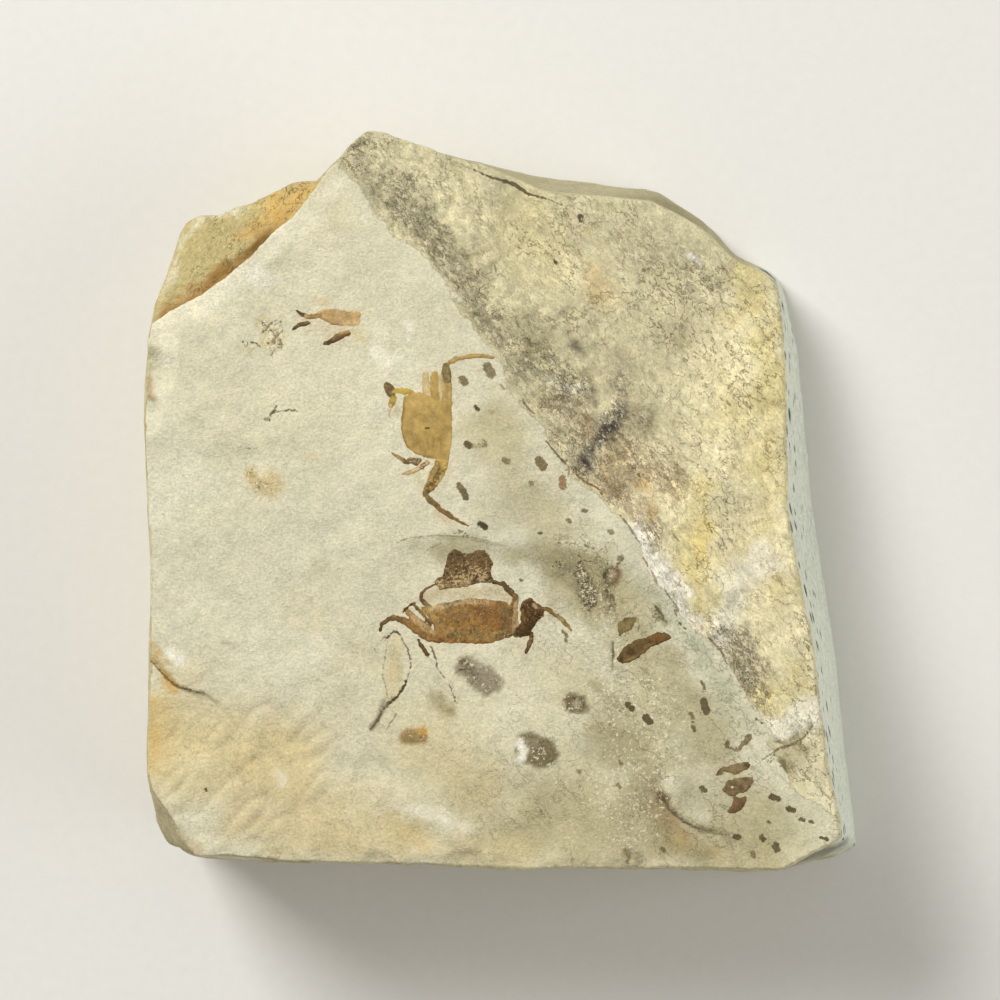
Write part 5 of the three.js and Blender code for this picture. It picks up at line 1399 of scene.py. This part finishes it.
# Two walls differ from the rest: the clean right side and the calmer upper one. Each pair says
# where a change begins and is complete: at places, or at how far a wall faces that way.
WALL_TO_TOP = (0.5, 0.7)      # upward part of the normal
TOP_SHIFT = 1.2               # furthest that the upper side moves to its fine heights
RIGHT_SIDE_X = (25.0, 27.0)
RIGHT_SIDE_FACING = (0.4, 0.7)
CLEAN_X = (24.5, 26.0)        # its tones reach a little further round than its relief
CLEAN_FACING = (0.25, 0.5)
UPPER_WALL_X = (-9, -6)
UPPER_WALL_Y = (23, 25)
UPPER_WALL_FACING = (0.2, 0.5)
THIN_BED = 0.9                # thickness of beds that stand out on the walls
THICK_BED = 2.3
ON_BED = 0.05                 # a place this little under the bed is still on it
WALL_FROM = (0.4, 1.2)        # depth below the upper side where the wall's tones take over
LEAST_GRAINS = 0.1            # share of dark grains anywhere on the beds
CRUST_GRAINS = 0.12           # and on the joint face
BED_VEINS = 0.12              # share of veins on the beds, more where they are crazed
CRAZED_VEINS = 0.25
JOINT_VEINS = 0.7             # and on the joint face
SPECK_SPACING = 1.7           # between the dark specks on the right side
SPECK_HALF = 0.58             # half width of the largest, in spacings


def carve(shape, relief):
    """Give the upper side its bedding face and fracture faces, and the walls their bedding."""
    x, y, z = places_of(shape)
    nx, ny, nz = normals_of(shape)
    up = smooth(nz, *WALL_TO_TOP)
    z = z + up * np.clip(face_height(x, y) - z, -TOP_SHIFT, TOP_SHIFT)

    right_side = smooth(x, *RIGHT_SIDE_X) * smooth(nx, *RIGHT_SIDE_FACING)
    upper_wall = smooth(y, *UPPER_WALL_Y) * smooth(x, *UPPER_WALL_X)
    upper_wall = upper_wall * smooth(ny, *UPPER_WALL_FACING)
    height = relief * (1 - 0.88 * right_side) * (1 - 0.7 * upper_wall)
    beds = unevenness(x / 4, y / 4, z, THIN_BED)
    beds = beds + 0.6 * unevenness(x / 3, y / 3, z + 5, THICK_BED)
    bulge = height * (beds + 0.5 * rough(x, y, z, 1.8, 2)) * (1 - up) * smooth(nz, -0.9, -0.6)
    x = x + nx * bulge
    y = y + ny * bulge
    z = z + nz * bulge
    z[(nz < -0.5) & (z < 0.7)] = 0.0
    place_at(shape, np.stack([x, y, np.maximum(z, 0)]))


def specks(x, y, spacing, crowd):
    """Round specks of many sizes, most and largest where crowd is 1."""
    cover = np.zeros(len(x))
    turned_x = (0.9 * x + 0.44 * y) / spacing
    turned_y = (0.9 * y - 0.44 * x) / spacing
    for neighbour in range(9):
        i = np.floor(turned_x) + neighbour % 3 - 1
        j = np.floor(turned_y) + neighbour // 3 - 1
        from_x = turned_x - i - 0.5 - 0.5 * scatter(i, j, 1)
        from_y = turned_y - j - 0.5 - 0.5 * scatter(i, j, 2)
        half = SPECK_HALF * crowd * smooth(scatter(i, j, 3), -0.3, 1.2)
        gap = np.hypot(from_x, 1.3 * from_y) - half
        cover = np.maximum(cover, smooth(half, 0.06, 0.12) * smooth(gap, 0.07, -0.07))
    return cover


def wall_tints(x, y, z, nx, ny):
    """Tones of the side walls: bands along the bedding, and two smoother, cleaner sides."""
    band = unevenness(x / 9, y / 9, z, 1.6) + 0.5 * unevenness(x / 5, y / 5, z, 0.6)
    tint = np.tile(tone_of("lower bed"), (len(x), 1))
    for tone, low, high, strength in (
        ("fresh cream", 0.15, 0.6, 0.5), ("soft tan", -0.1, -0.5, 0.8),
        ("spot grey", -0.55, -0.8, 0.35),
    ):
        cover = strength * smooth(band, low, high)
        tint += cover[:, None] * (tone_of(tone) - tint)
    rusty = 0.5 * smooth(unevenness(x, y, z * 1.6, 6.0), 0.1, 0.6)
    tint += rusty[:, None] * (tone_of("warm tan") - tint)

    clean = smooth(x, *CLEAN_X) * smooth(nx, *CLEAN_FACING)
    tint += clean[:, None] * (tone_of("side grey green") - tint)
    near_top = smooth(fracture_height(x, y, JOINT_FACE) - z, 16, 1)
    crowd = near_top * (0.5 + 0.5 * smooth(unevenness(x, y, z, 5), -0.4, 0.3))
    spots = clean * specks(y, z, SPECK_SPACING, crowd)
    tint += spots[:, None] * (tone_of("side speck") - tint)

    shaded = smooth(y, 22, 25) * smooth(x, *UPPER_WALL_X) * smooth(ny, *UPPER_WALL_FACING)
    shaded = shaded * (1 - clean)
    tint += shaded[:, None] * (tone_of("shaded beige") - tint)
    brown = shaded * smooth(np.hypot(x - 14, (y - 29) * 1.5), 8, 3) * 0.6
    tint += brown[:, None] * (tone_of("soft speck") - tint)

    # painted shade: the facet at the lower right corner, which faces away from the key light, is
    # darkened to a grey green, more so higher up
    dark = smooth(x, 26, 29) * smooth(y, -33, -34.5) * smooth(ny, 0.1, -0.2)
    dark = dark * (0.2 + 0.7 * smooth(z + 3 * unevenness(x, y, z, 3.0), 8, 20))
    tint += dark[:, None] * (tone_of("shaded facet") - tint)
    return tint


def colour_stone(shape):
    """Tones, grains and marks for every vertex of the stone, by its place."""
    x, y, z = places_of(shape)
    nx, ny, _ = normals_of(shape)
    bed, joint, yellow, ochre, corner = upper_side(x, y)
    others = np.minimum.reduce([joint, yellow, ochre, corner])
    top = np.minimum(bed, others)
    on_bed = z > bed - ON_BED
    off_bed = np.where(on_bed & (others > bed), np.maximum(bed - others, -1), bed - z)
    off_bed = np.minimum(np.where(others < bed, bed - others, off_bed), 1)
    off_bed = np.maximum(off_bed, np.minimum(bed - z - 0.25, 1))

    bed_tint = np.tile(tone_of("mudstone"), (len(x), 1))
    paint(bed_tint, x, y, BED_STAINS)
    cloud = rough(x, y, 0.5, 5.0, 3)[:, None]
    warmth = unevenness(x, y, 3.5, 9.0)[:, None]
    bed_tint = bed_tint * (1 + 0.04 * cloud) * (1 - warmth * np.array((0, 0.015, 0.06)))

    side = np.tile(tone_of("crust"), (len(x), 1))
    paint(side, x, y, FACE_STAINS)
    crusty = rough(x + y, (x - y) / 1.5, 1.0, 5.0, 4)
    # painted shade: the joint face darkens and turns browner in the creases between its lumps, more
    # in some patches than others
    crease_shade = joint_grain(x, y)[1] * np.clip(0.5 + 0.9 * unevenness(x, y, 8.0, 3.0), 0, 1)
    side = side * (1 + 0.06 * smooth(crusty, 0.0, 0.4) - 0.08 * smooth(crusty, -0.1, -0.6)
                   + 0.05 * rough(x, y, 3, 1.0, 2))[:, None]
    side = side * (1 - crease_shade[:, None] * np.array((0.1, 0.13, 0.2)))
    for height, base, stains in (
        (yellow, "crust", YELLOW_STAINS), (ochre, "ochre cream", OCHRE_STAINS),
        (corner, "corner grey", []),
    ):
        here = (height <= others) & (height < joint)
        tint = np.tile(tone_of(base), (len(x), 1))
        paint(tint, x, y, stains)
        streak = 0.09 * rough(x, y, z, 2.6, 3)
        side[here] = (tint * (1 + streak)[:, None])[here]
    wall = smooth(top - z, *WALL_FROM)
    side += wall[:, None] * (wall_tints(x, y, z, nx, ny) - side)

    joint_share = (joint <= others) * (1 - wall)
    on_face = smooth(off_bed, 0.0, 0.3)
    share = np.full(len(x), LEAST_GRAINS)
    tones = np.tile(tone_of("soft speck"), (len(x), 1))
    gather_grains(x, y, GRAIN_PATCHES, 1 - on_face, share, tones)
    share = np.maximum(share, CRUST_GRAINS * joint_share * on_face)
    gather_grains(x, y, JOINT_GRAIN_PATCHES, joint_share * on_face, share, tones)
    patchy = 0.95 + 0.4 * rough(x, y, 2.0, 2.6, 3)
    share = share * np.clip(patchy, 0.4, 1.4)
    bright = 0.15 + 0.5 * share + (0.1 + 0.08 * share) * joint_share * on_face
    for line, half_width, soft, most in GLINTING:
        cover = coverage(x, y, line, half_width, soft, 0.5 * soft) * (1 - on_face)
        bright = np.maximum(bright, cover * most)
    crazed = smooth(x, -10, 12) * smooth(y, 10, -6) + 0.3 * smooth(y, -12, -26)
    veined = BED_VEINS + CRAZED_VEINS * np.minimum(crazed, 1)
    veined = veined * (1 - on_face) + JOINT_VEINS * on_face
    veined = veined * (1 - 0.9 * wall) * np.clip(0.75 + 0.8 * rough(x, y, 6.0, 3.0, 2), 0, 1.2)

    contrast = 0.75 + 0.05 * joint_share * on_face + 0.9 * share
    contrast = contrast * (1 - 0.6 * smooth(x, 25, 26.5) * wall)

    gap, way, half, strength, mark_tone = nearest_marks(x, y, z, top)
    return {
        "bed_tint": bed_tint, "side_tint": side, "off_bed": off_bed, "contrast": contrast,
        "dark_share": share, "dark_tone": tones, "bright_share": bright,
        "vein_share": veined, "mark_gap": gap, "mark_way": way, "mark_half": half,
        "mark_strength": strength, "mark_tone": mark_tone,
    }


def store(mesh, fields):
    """Store fields on a mesh's vertices: numbers, ways (vectors) and tones (colours)."""
    for name, values in fields.items():
        values = np.asarray(values, np.float32)
        kind, key = "FLOAT", "value"
        if name.endswith("_way"):
            kind, key = "FLOAT_VECTOR", "vector"
        elif values.ndim == 2:
            kind, key = "FLOAT_COLOR", "color"
            values = np.hstack([values, np.ones((len(values), 1), np.float32)])
        attribute = mesh.attributes.new(name, kind, "POINT")
        attribute.data.foreach_set(key, values.ravel())


def build_stone(stone):
    shape = copy_of("mudstone_block")
    even_out(shape, stone.spacing / MM)
    upper = {
        edge for face in shape.faces for edge in face.edges
        if face.normal.z > 0.5 or face.normal.x > 0.7 and face.calc_center_median().z > 8
    }
    bmesh.ops.subdivide_edges(shape, edges=list(upper), cuts=1, use_grid_fill=True)
    carve(shape, stone.wall_relief / MM)
    under = [face for face in shape.faces if max(v.co.z for v in face.verts) < 0.001]
    bmesh.ops.dissolve_faces(shape, faces=under, use_verts=True)
    bmesh.ops.recalc_face_normals(shape, faces=shape.faces)
    for face in shape.faces:
        face.smooth = face.normal.z > -0.98
    fields = colour_stone(shape)
    bmesh.ops.scale(shape, vec=(MM,) * 3, verts=shape.verts)
    block = show("mudstone_block_split", shape, mudstone_material(stone),
                 "mudstone_block")
    store(block.data, fields)
    return block


# ---- pressed skin ----

BORDER = 0.2                  # how far a fossil's skin runs on under the rock around it
UNDERSIDE = -0.25             # the skin's hidden lower face, from the bed
CROWN_WIDTH = (0.1, 2.2)      # distance from the edge over which a shell's crown rises


def gap_to(part, x, y):
    """Distance outside a part, negative inside it."""
    if "outline" in part:
        return outside(x, y, part["outline"])
    gap, _, _, along = to_line(x, y, part["line"])
    return gap - np.interp(along, np.arange(len(part["widths"])), part["widths"]) / 2


def press(x, y, parts, touches, patches, grit=1.0):
    """Height above the bed and colours of pressed skin at each place."""
    count = len(x)
    height = np.full(count, -BORDER)
    nearest = np.full(count, FAR_OFF)
    skin = np.tile(tone_of(parts[0]["tone"]), (count, 1))
    share = np.zeros(count)
    ragged = 0.08 * unevenness(x, y, 31, 0.42) + 0.08 * unevenness(x, y, 17, 0.18)
    for n, part in enumerate(parts):
        here = near_line(x, y, part.get("outline") or part["line"], 1.0)
        px, py = x[here], y[here]
        gap = gap_to(part, px, py) + ragged[here]
        lump = 0.03 * rough(px, py, n, 0.9, 3)
        lump = lump + 0.075 * part["grains"] * unevenness(px, py, n + 5.0, 0.3)
        rise = 0.4 * part["rise"] * np.sin(np.clip(-gap / BORDER, -1, 1) * math.pi / 2)
        rise = rise + np.where(gap < 0, 0.6 * part["crown"] * smooth(-gap, *CROWN_WIDTH), 0)
        rise = rise + lump * smooth(-gap, 0, 0.25)
        height[here] = np.maximum(height[here], rise)
        nearest[here] = np.minimum(nearest[here], gap)

        tint = np.tile(tone_of(part["tone"]), (len(px), 1))
        if part["mottle"]:
            tone, size, amount = part["mottle"]
            blotch = amount * smooth(rough(px, py, n + 9.0, size, 3), -0.2, 0.6)
            tint += blotch[:, None] * (tone_of(tone) - tint)
        edge = 0.5 * smooth(gap + 0.12 * unevenness(px, py, n + 2.0, 0.8), -0.25, -0.02)
        tint += edge[:, None] * (tone_of(part["rim"]) - tint)
        tint *= (1 + 0.22 * rough(px, py, n + 3.0, 0.8, 3))[:, None]
        cover = smooth(gap, 0.05, -0.05)
        skin[here] += cover[:, None] * (tint - skin[here])
        share[here] += cover * (part["grains"] - share[here])
    paint(skin, x, y, touches)
    grains = 0.25 * share
    tones = np.tile(tone_of("darkest skin"), (count, 1))
    gather_grains(x, y, patches, np.ones(count), grains, tones)
    return nearest, height, {
        "skin_tint": skin, "contrast": grit * (1 + share),
        "dark_share": 0.15 * grit + 0.8 * grains, "dark_tone": tones,
        "bright_share": 0.1 * grit + 0.8 * share,
    }


# Each fossil's parts, touches, gathered grains, grit and skin.
FOSSILS = {
    "lower_crab": (
        LOWER_CRAB, LOWER_CRAB_TOUCHES, LOWER_CRAB_GRAINS, 2.8, "dark_cuticle",
    ),
    "upper_crab": (
        UPPER_CRAB, UPPER_CRAB_TOUCHES, UPPER_CRAB_GRAINS, 0.8, "golden_cuticle",
    ),
    "shell_fragment": (SHELL_FRAGMENT, SHELL_FRAGMENT_TOUCHES, [], 1.2, "tan_cuticle"),
    "leg_fragment_left": (LEFT_JOINT, LEFT_JOINT_TOUCHES, [], 1.5, "dark_cuticle"),
    "leg_fragment_right": (RIGHT_JOINT, RIGHT_JOINT_TOUCHES, [], 1.5, "dark_cuticle"),
    "long_flake": (LONG_FLAKE, LONG_FLAKE_TOUCHES, [], 1.5, "dark_cuticle"),
    "ribbed_flake": (RIBBED_FLAKE, RIBBED_FLAKE_TOUCHES, [], 1.5, "dark_cuticle"),
    "claw_flake_top": (TOP_CLAW_FLAKE, CLAW_FLAKE_TOUCHES, [], 1.5, "dark_cuticle"),
    "claw_flake_middle": (MIDDLE_CLAW_FLAKE, CLAW_FLAKE_TOUCHES, [], 1.5, "dark_cuticle"),
    "claw_flake_bottom": (BOTTOM_CLAW_FLAKE, CLAW_FLAKE_TOUCHES, [], 1.5, "dark_cuticle"),
}
SKIN_ROUGHNESS = {"dark_cuticle": 0.6, "golden_cuticle": 0.55, "tan_cuticle": 0.7}


def build_fossil(name, fossils):
    """A fossil's skin on the bed: a closed sheet of fine quads, cut round its parts."""
    parts, touches, patches, grit, skin = FOSSILS[name]
    corners = np.array([c for part in parts for c in part.get("outline") or part["line"]])
    low = corners.min(0) - 1
    high = corners.max(0) + 1
    columns, rows = (int(n) for n in np.ceil((high - low) / (fossils.spacing / MM)))
    middle = (*(low + high) / 2, 0)
    sides = (*(high - low), 1, 1)
    shape = bmesh.new()
    bmesh.ops.create_grid(shape, x_segments=columns, y_segments=rows, size=0.5,
                          matrix=Matrix.Translation(middle) @ Matrix.Diagonal(sides))
    x, y, _ = places_of(shape)
    gap = press(x, y, parts, [], [])[0]
    stray = [vertex for vertex, away in zip(shape.verts[:], gap) if away > BORDER]
    bmesh.ops.delete(shape, geom=stray, context="VERTS")
    closed = bmesh.ops.extrude_face_region(shape, geom=shape.faces[:])["geom"]
    under = {item for item in closed if isinstance(item, bmesh.types.BMVert)}

    x, y, _ = places_of(shape)
    _, height, fields = press(x, y, parts, touches, patches, grit)
    bed = bed_height(x, y) + fine_bed_relief(x, y)
    height[[vertex in under for vertex in shape.verts]] = UNDERSIDE
    place_at(shape, np.stack([x, y, bed + height]))
    bmesh.ops.recalc_face_normals(shape, faces=shape.faces)
    for face in shape.faces:
        face.smooth = True
    bmesh.ops.scale(shape, vec=(MM,) * 3, verts=shape.verts)
    material = cuticle_material(skin, SKIN_ROUGHNESS[skin], fossils)
    piece = show(name + "_pressed", shape, material, name)
    store(piece.data, fields)
    return piece


# ---- settings ----


class StoneSettings(bpy.types.PropertyGroup):
    """The block of mudstone."""

    spacing: FloatProperty(
        name="Mesh Spacing", description="Size of the quads that the walls are rebuilt from",
        default=0.0006, unit="LENGTH", precision=4,
    )
    wall_relief: FloatProperty(
        name="Wall Relief", description="How far the bedding stands out on the broken walls",
        default=0.0002, unit="LENGTH", precision=4,
    )
    grain: FloatProperty(
        name="Grain", description="Size of the stone's visible grain",
        default=0.00028, unit="LENGTH", precision=5,
    )
    grain_height: FloatProperty(
        name="Grain Height", description="How high the grain stands at full contrast",
        default=0.00012, unit="LENGTH", precision=5,
    )
    dark_grain: FloatProperty(
        name="Dark Grains", description="Size of the single dark and glinting grains",
        default=0.0004, unit="LENGTH", precision=5,
    )
    vein_spacing: FloatProperty(
        name="Vein Spacing", description="Distance over which veins and cracks wander",
        default=0.0016, unit="LENGTH", precision=4,
    )
    crust_grain: FloatProperty(
        name="Crust Grains", description="Size of the crust's grains, with stain between them",
        default=0.00042, unit="LENGTH", precision=5,
    )


class FossilSettings(bpy.types.PropertyGroup):
    """The pressed skin of the crabs and flakes."""

    spacing: FloatProperty(
        name="Mesh Spacing", description="Size of the quads that the skin is made of",
        default=0.00009, unit="LENGTH", precision=5,
    )
    pit: FloatProperty(
        name="Pits", description="Size of the pits in the skin",
        default=0.00025, unit="LENGTH", precision=5,
    )
    pit_depth: FloatProperty(
        name="Pit Depth", description="How deep the pits are",
        default=0.00004, unit="LENGTH", precision=5,
    )
    glint: FloatProperty(
        name="Grains", description="Size of the grains of stone caught in the skin",
        default=0.00025, unit="LENGTH", precision=5,
    )


class StageSettings(bpy.types.PropertyGroup):
    """Camera, lights and floor."""

    camera: FloatVectorProperty(
        name="Camera", description="Where the camera hangs, looking straight down",
        default=(-0.0013, 0.0008, 0.376), subtype="TRANSLATION",
    )
    lens: FloatProperty(
        name="Lens", description="Focal length in millimetres on a 36 mm sensor", default=126,
    )
    key: FloatProperty(
        name="Key Light", description="Power of the large soft light at the upper left",
        default=6.2, unit="POWER",
    )
    fill: FloatProperty(
        name="Fill Light", description="Power of the soft light at the right",
        default=1.9, unit="POWER",
    )
    sky: FloatProperty(
        name="Sky", description="Strength of the even light from all sides", default=0.34,
    )
    floor: FloatProperty(
        name="Floor", description="Side of the square floor", default=1.6, unit="LENGTH",
    )


# ---- operators ----

SKY_TONE = "#FBF8F2"
BOARD_TONE = "#E4E2DC"
BOARD_TOOTH = 1.2 * MM        # grain of the floor's paint


class MudstoneOperator(bpy.types.Operator):
    """Build the block of split and weathered mudstone"""

    bl_idname = "fossil.mudstone"
    bl_label = "Mudstone"

    def execute(self, context):
        build_stone(context.scene.fossil_stone)
        return {"FINISHED"}


class LowerCrabOperator(bpy.types.Operator):
    """Build the dark brown crab on the lower bed"""

    bl_idname = "fossil.lower_crab"
    bl_label = "Lower Crab"

    def execute(self, context):
        build_fossil("lower_crab", context.scene.fossil_skin)
        return {"FINISHED"}


class UpperCrabOperator(bpy.types.Operator):
    """Build the golden brown crab on the upper bed"""

    bl_idname = "fossil.upper_crab"
    bl_label = "Upper Crab"

    def execute(self, context):
        build_fossil("upper_crab", context.scene.fossil_skin)
        return {"FINISHED"}


class FragmentsOperator(bpy.types.Operator):
    """Build the tan piece of shell and the two loose leg joints"""

    bl_idname = "fossil.fragments"
    bl_label = "Shell Fragments"

    def execute(self, context):
        for name in ("shell_fragment", "leg_fragment_left", "leg_fragment_right"):
            build_fossil(name, context.scene.fossil_skin)
        return {"FINISHED"}


class FlakesOperator(bpy.types.Operator):
    """Build the loose dark flakes of crab skin"""

    bl_idname = "fossil.flakes"
    bl_label = "Flakes"

    def execute(self, context):
        for name in ("long_flake", "ribbed_flake", "claw_flake_top", "claw_flake_middle",
                     "claw_flake_bottom"):
            build_fossil(name, context.scene.fossil_skin)
        return {"FINISHED"}


class StageOperator(bpy.types.Operator):
    """Set up the camera, the soft studio light and the pale floor"""

    bl_idname = "fossil.stage"
    bl_label = "Stage"

    def execute(self, context):
        scene = context.scene
        stage = scene.fossil_stage
        camera = bpy.data.objects.new("camera", bpy.data.cameras.new("camera"))
        camera.location = stage.camera
        camera.data.lens = stage.lens
        camera.data.sensor_width = 36
        camera.data.clip_start = 0.01
        camera.data.clip_end = 10
        scene.collection.objects.link(camera)
        scene.camera = camera

        for name, power, side, place in (
            ("key", stage.key, 0.36, (-0.42, 0.46, 0.56)),
            ("fill", stage.fill, 0.6, (0.62, -0.1, 0.36)),
        ):
            lamp = bpy.data.lights.new(name, "AREA")
            lamp.energy = power
            lamp.size = side
            light = bpy.data.objects.new(name, lamp)
            light.location = place
            light.rotation_euler = Vector(place).to_track_quat("Z", "Y").to_euler()
            scene.collection.objects.link(light)

        world = bpy.data.worlds.new("studio")
        world.use_nodes = True
        world.node_tree.nodes.clear()
        glow = add(world.node_tree, "Background", {
            "Color": (*linear(SKY_TONE), 1), "Strength": stage.sky,
        })
        add(world.node_tree, "OutputWorld", {"Surface": glow[0]})
        scene.world = world
        scene.view_settings.view_transform = "Standard"

        # a pale painted board, almost even, with a slight tooth
        paint_coat, tree, coord, _, _ = start_material("floor_board")
        tooth = add(tree, "TexNoise", {"Vector": coord, "Scale": 1 / BOARD_TOOTH})["Fac"]
        shade = add(tree, "MapRange", {
            "Value": tooth, "To Min": 0.97, "To Max": 1.03,
        })["Result"]
        board = add(tree, "VectorMath", {0: linear(BOARD_TONE), "Scale": shade},
                    operation="SCALE")[0]
        finish_material(tree, board, roughness=0.85, specular=0.3)
        shape = bmesh.new()
        bmesh.ops.create_grid(shape, x_segments=1, y_segments=1, size=stage.floor / 2)
        mesh = bpy.data.meshes.new("floor")
        shape.to_mesh(mesh)
        shape.free()
        mesh.materials.append(paint_coat)
        floor = bpy.data.objects.new("floor", mesh)
        scene.collection.objects.link(floor)
        return {"FINISHED"}


class FossilPanel(bpy.types.Panel):
    """Builds the fossils piece by piece."""

    bl_idname = "VIEW3D_PT_fossil"
    bl_label = "Fossil Crabs"
    bl_space_type = "VIEW_3D"
    bl_region_type = "UI"
    bl_category = "Fossil"

    def draw(self, context):
        scene = context.scene
        for settings, operators in (
            (scene.fossil_stone, (MudstoneOperator,)),
            (scene.fossil_skin,
             (LowerCrabOperator, UpperCrabOperator, FragmentsOperator, FlakesOperator)),
            (scene.fossil_stage, (StageOperator,)),
        ):
            box = self.layout.box()
            for setting in settings.__annotations__:
                box.prop(settings, setting)
            for operator in operators:
                box.operator(operator.bl_idname)


CLASSES = (
    StoneSettings, FossilSettings, StageSettings, MudstoneOperator, LowerCrabOperator,
    UpperCrabOperator, FragmentsOperator, FlakesOperator, StageOperator, FossilPanel,
)


def register():
    for item in CLASSES:
        bpy.utils.register_class(item)
    bpy.types.Scene.fossil_stone = PointerProperty(type=StoneSettings)
    bpy.types.Scene.fossil_skin = PointerProperty(type=FossilSettings)
    bpy.types.Scene.fossil_stage = PointerProperty(type=StageSettings)


def unregister():
    del bpy.types.Scene.fossil_stage
    del bpy.types.Scene.fossil_skin
    del bpy.types.Scene.fossil_stone
    for item in reversed(CLASSES):
        bpy.utils.unregister_class(item)


def main():
    register()
    bpy.ops.fossil.stage()
    bpy.ops.fossil.mudstone()
    bpy.ops.fossil.lower_crab()
    bpy.ops.fossil.upper_crab()
    bpy.ops.fossil.fragments()
    bpy.ops.fossil.flakes()


if __name__ == "__main__":
    main()
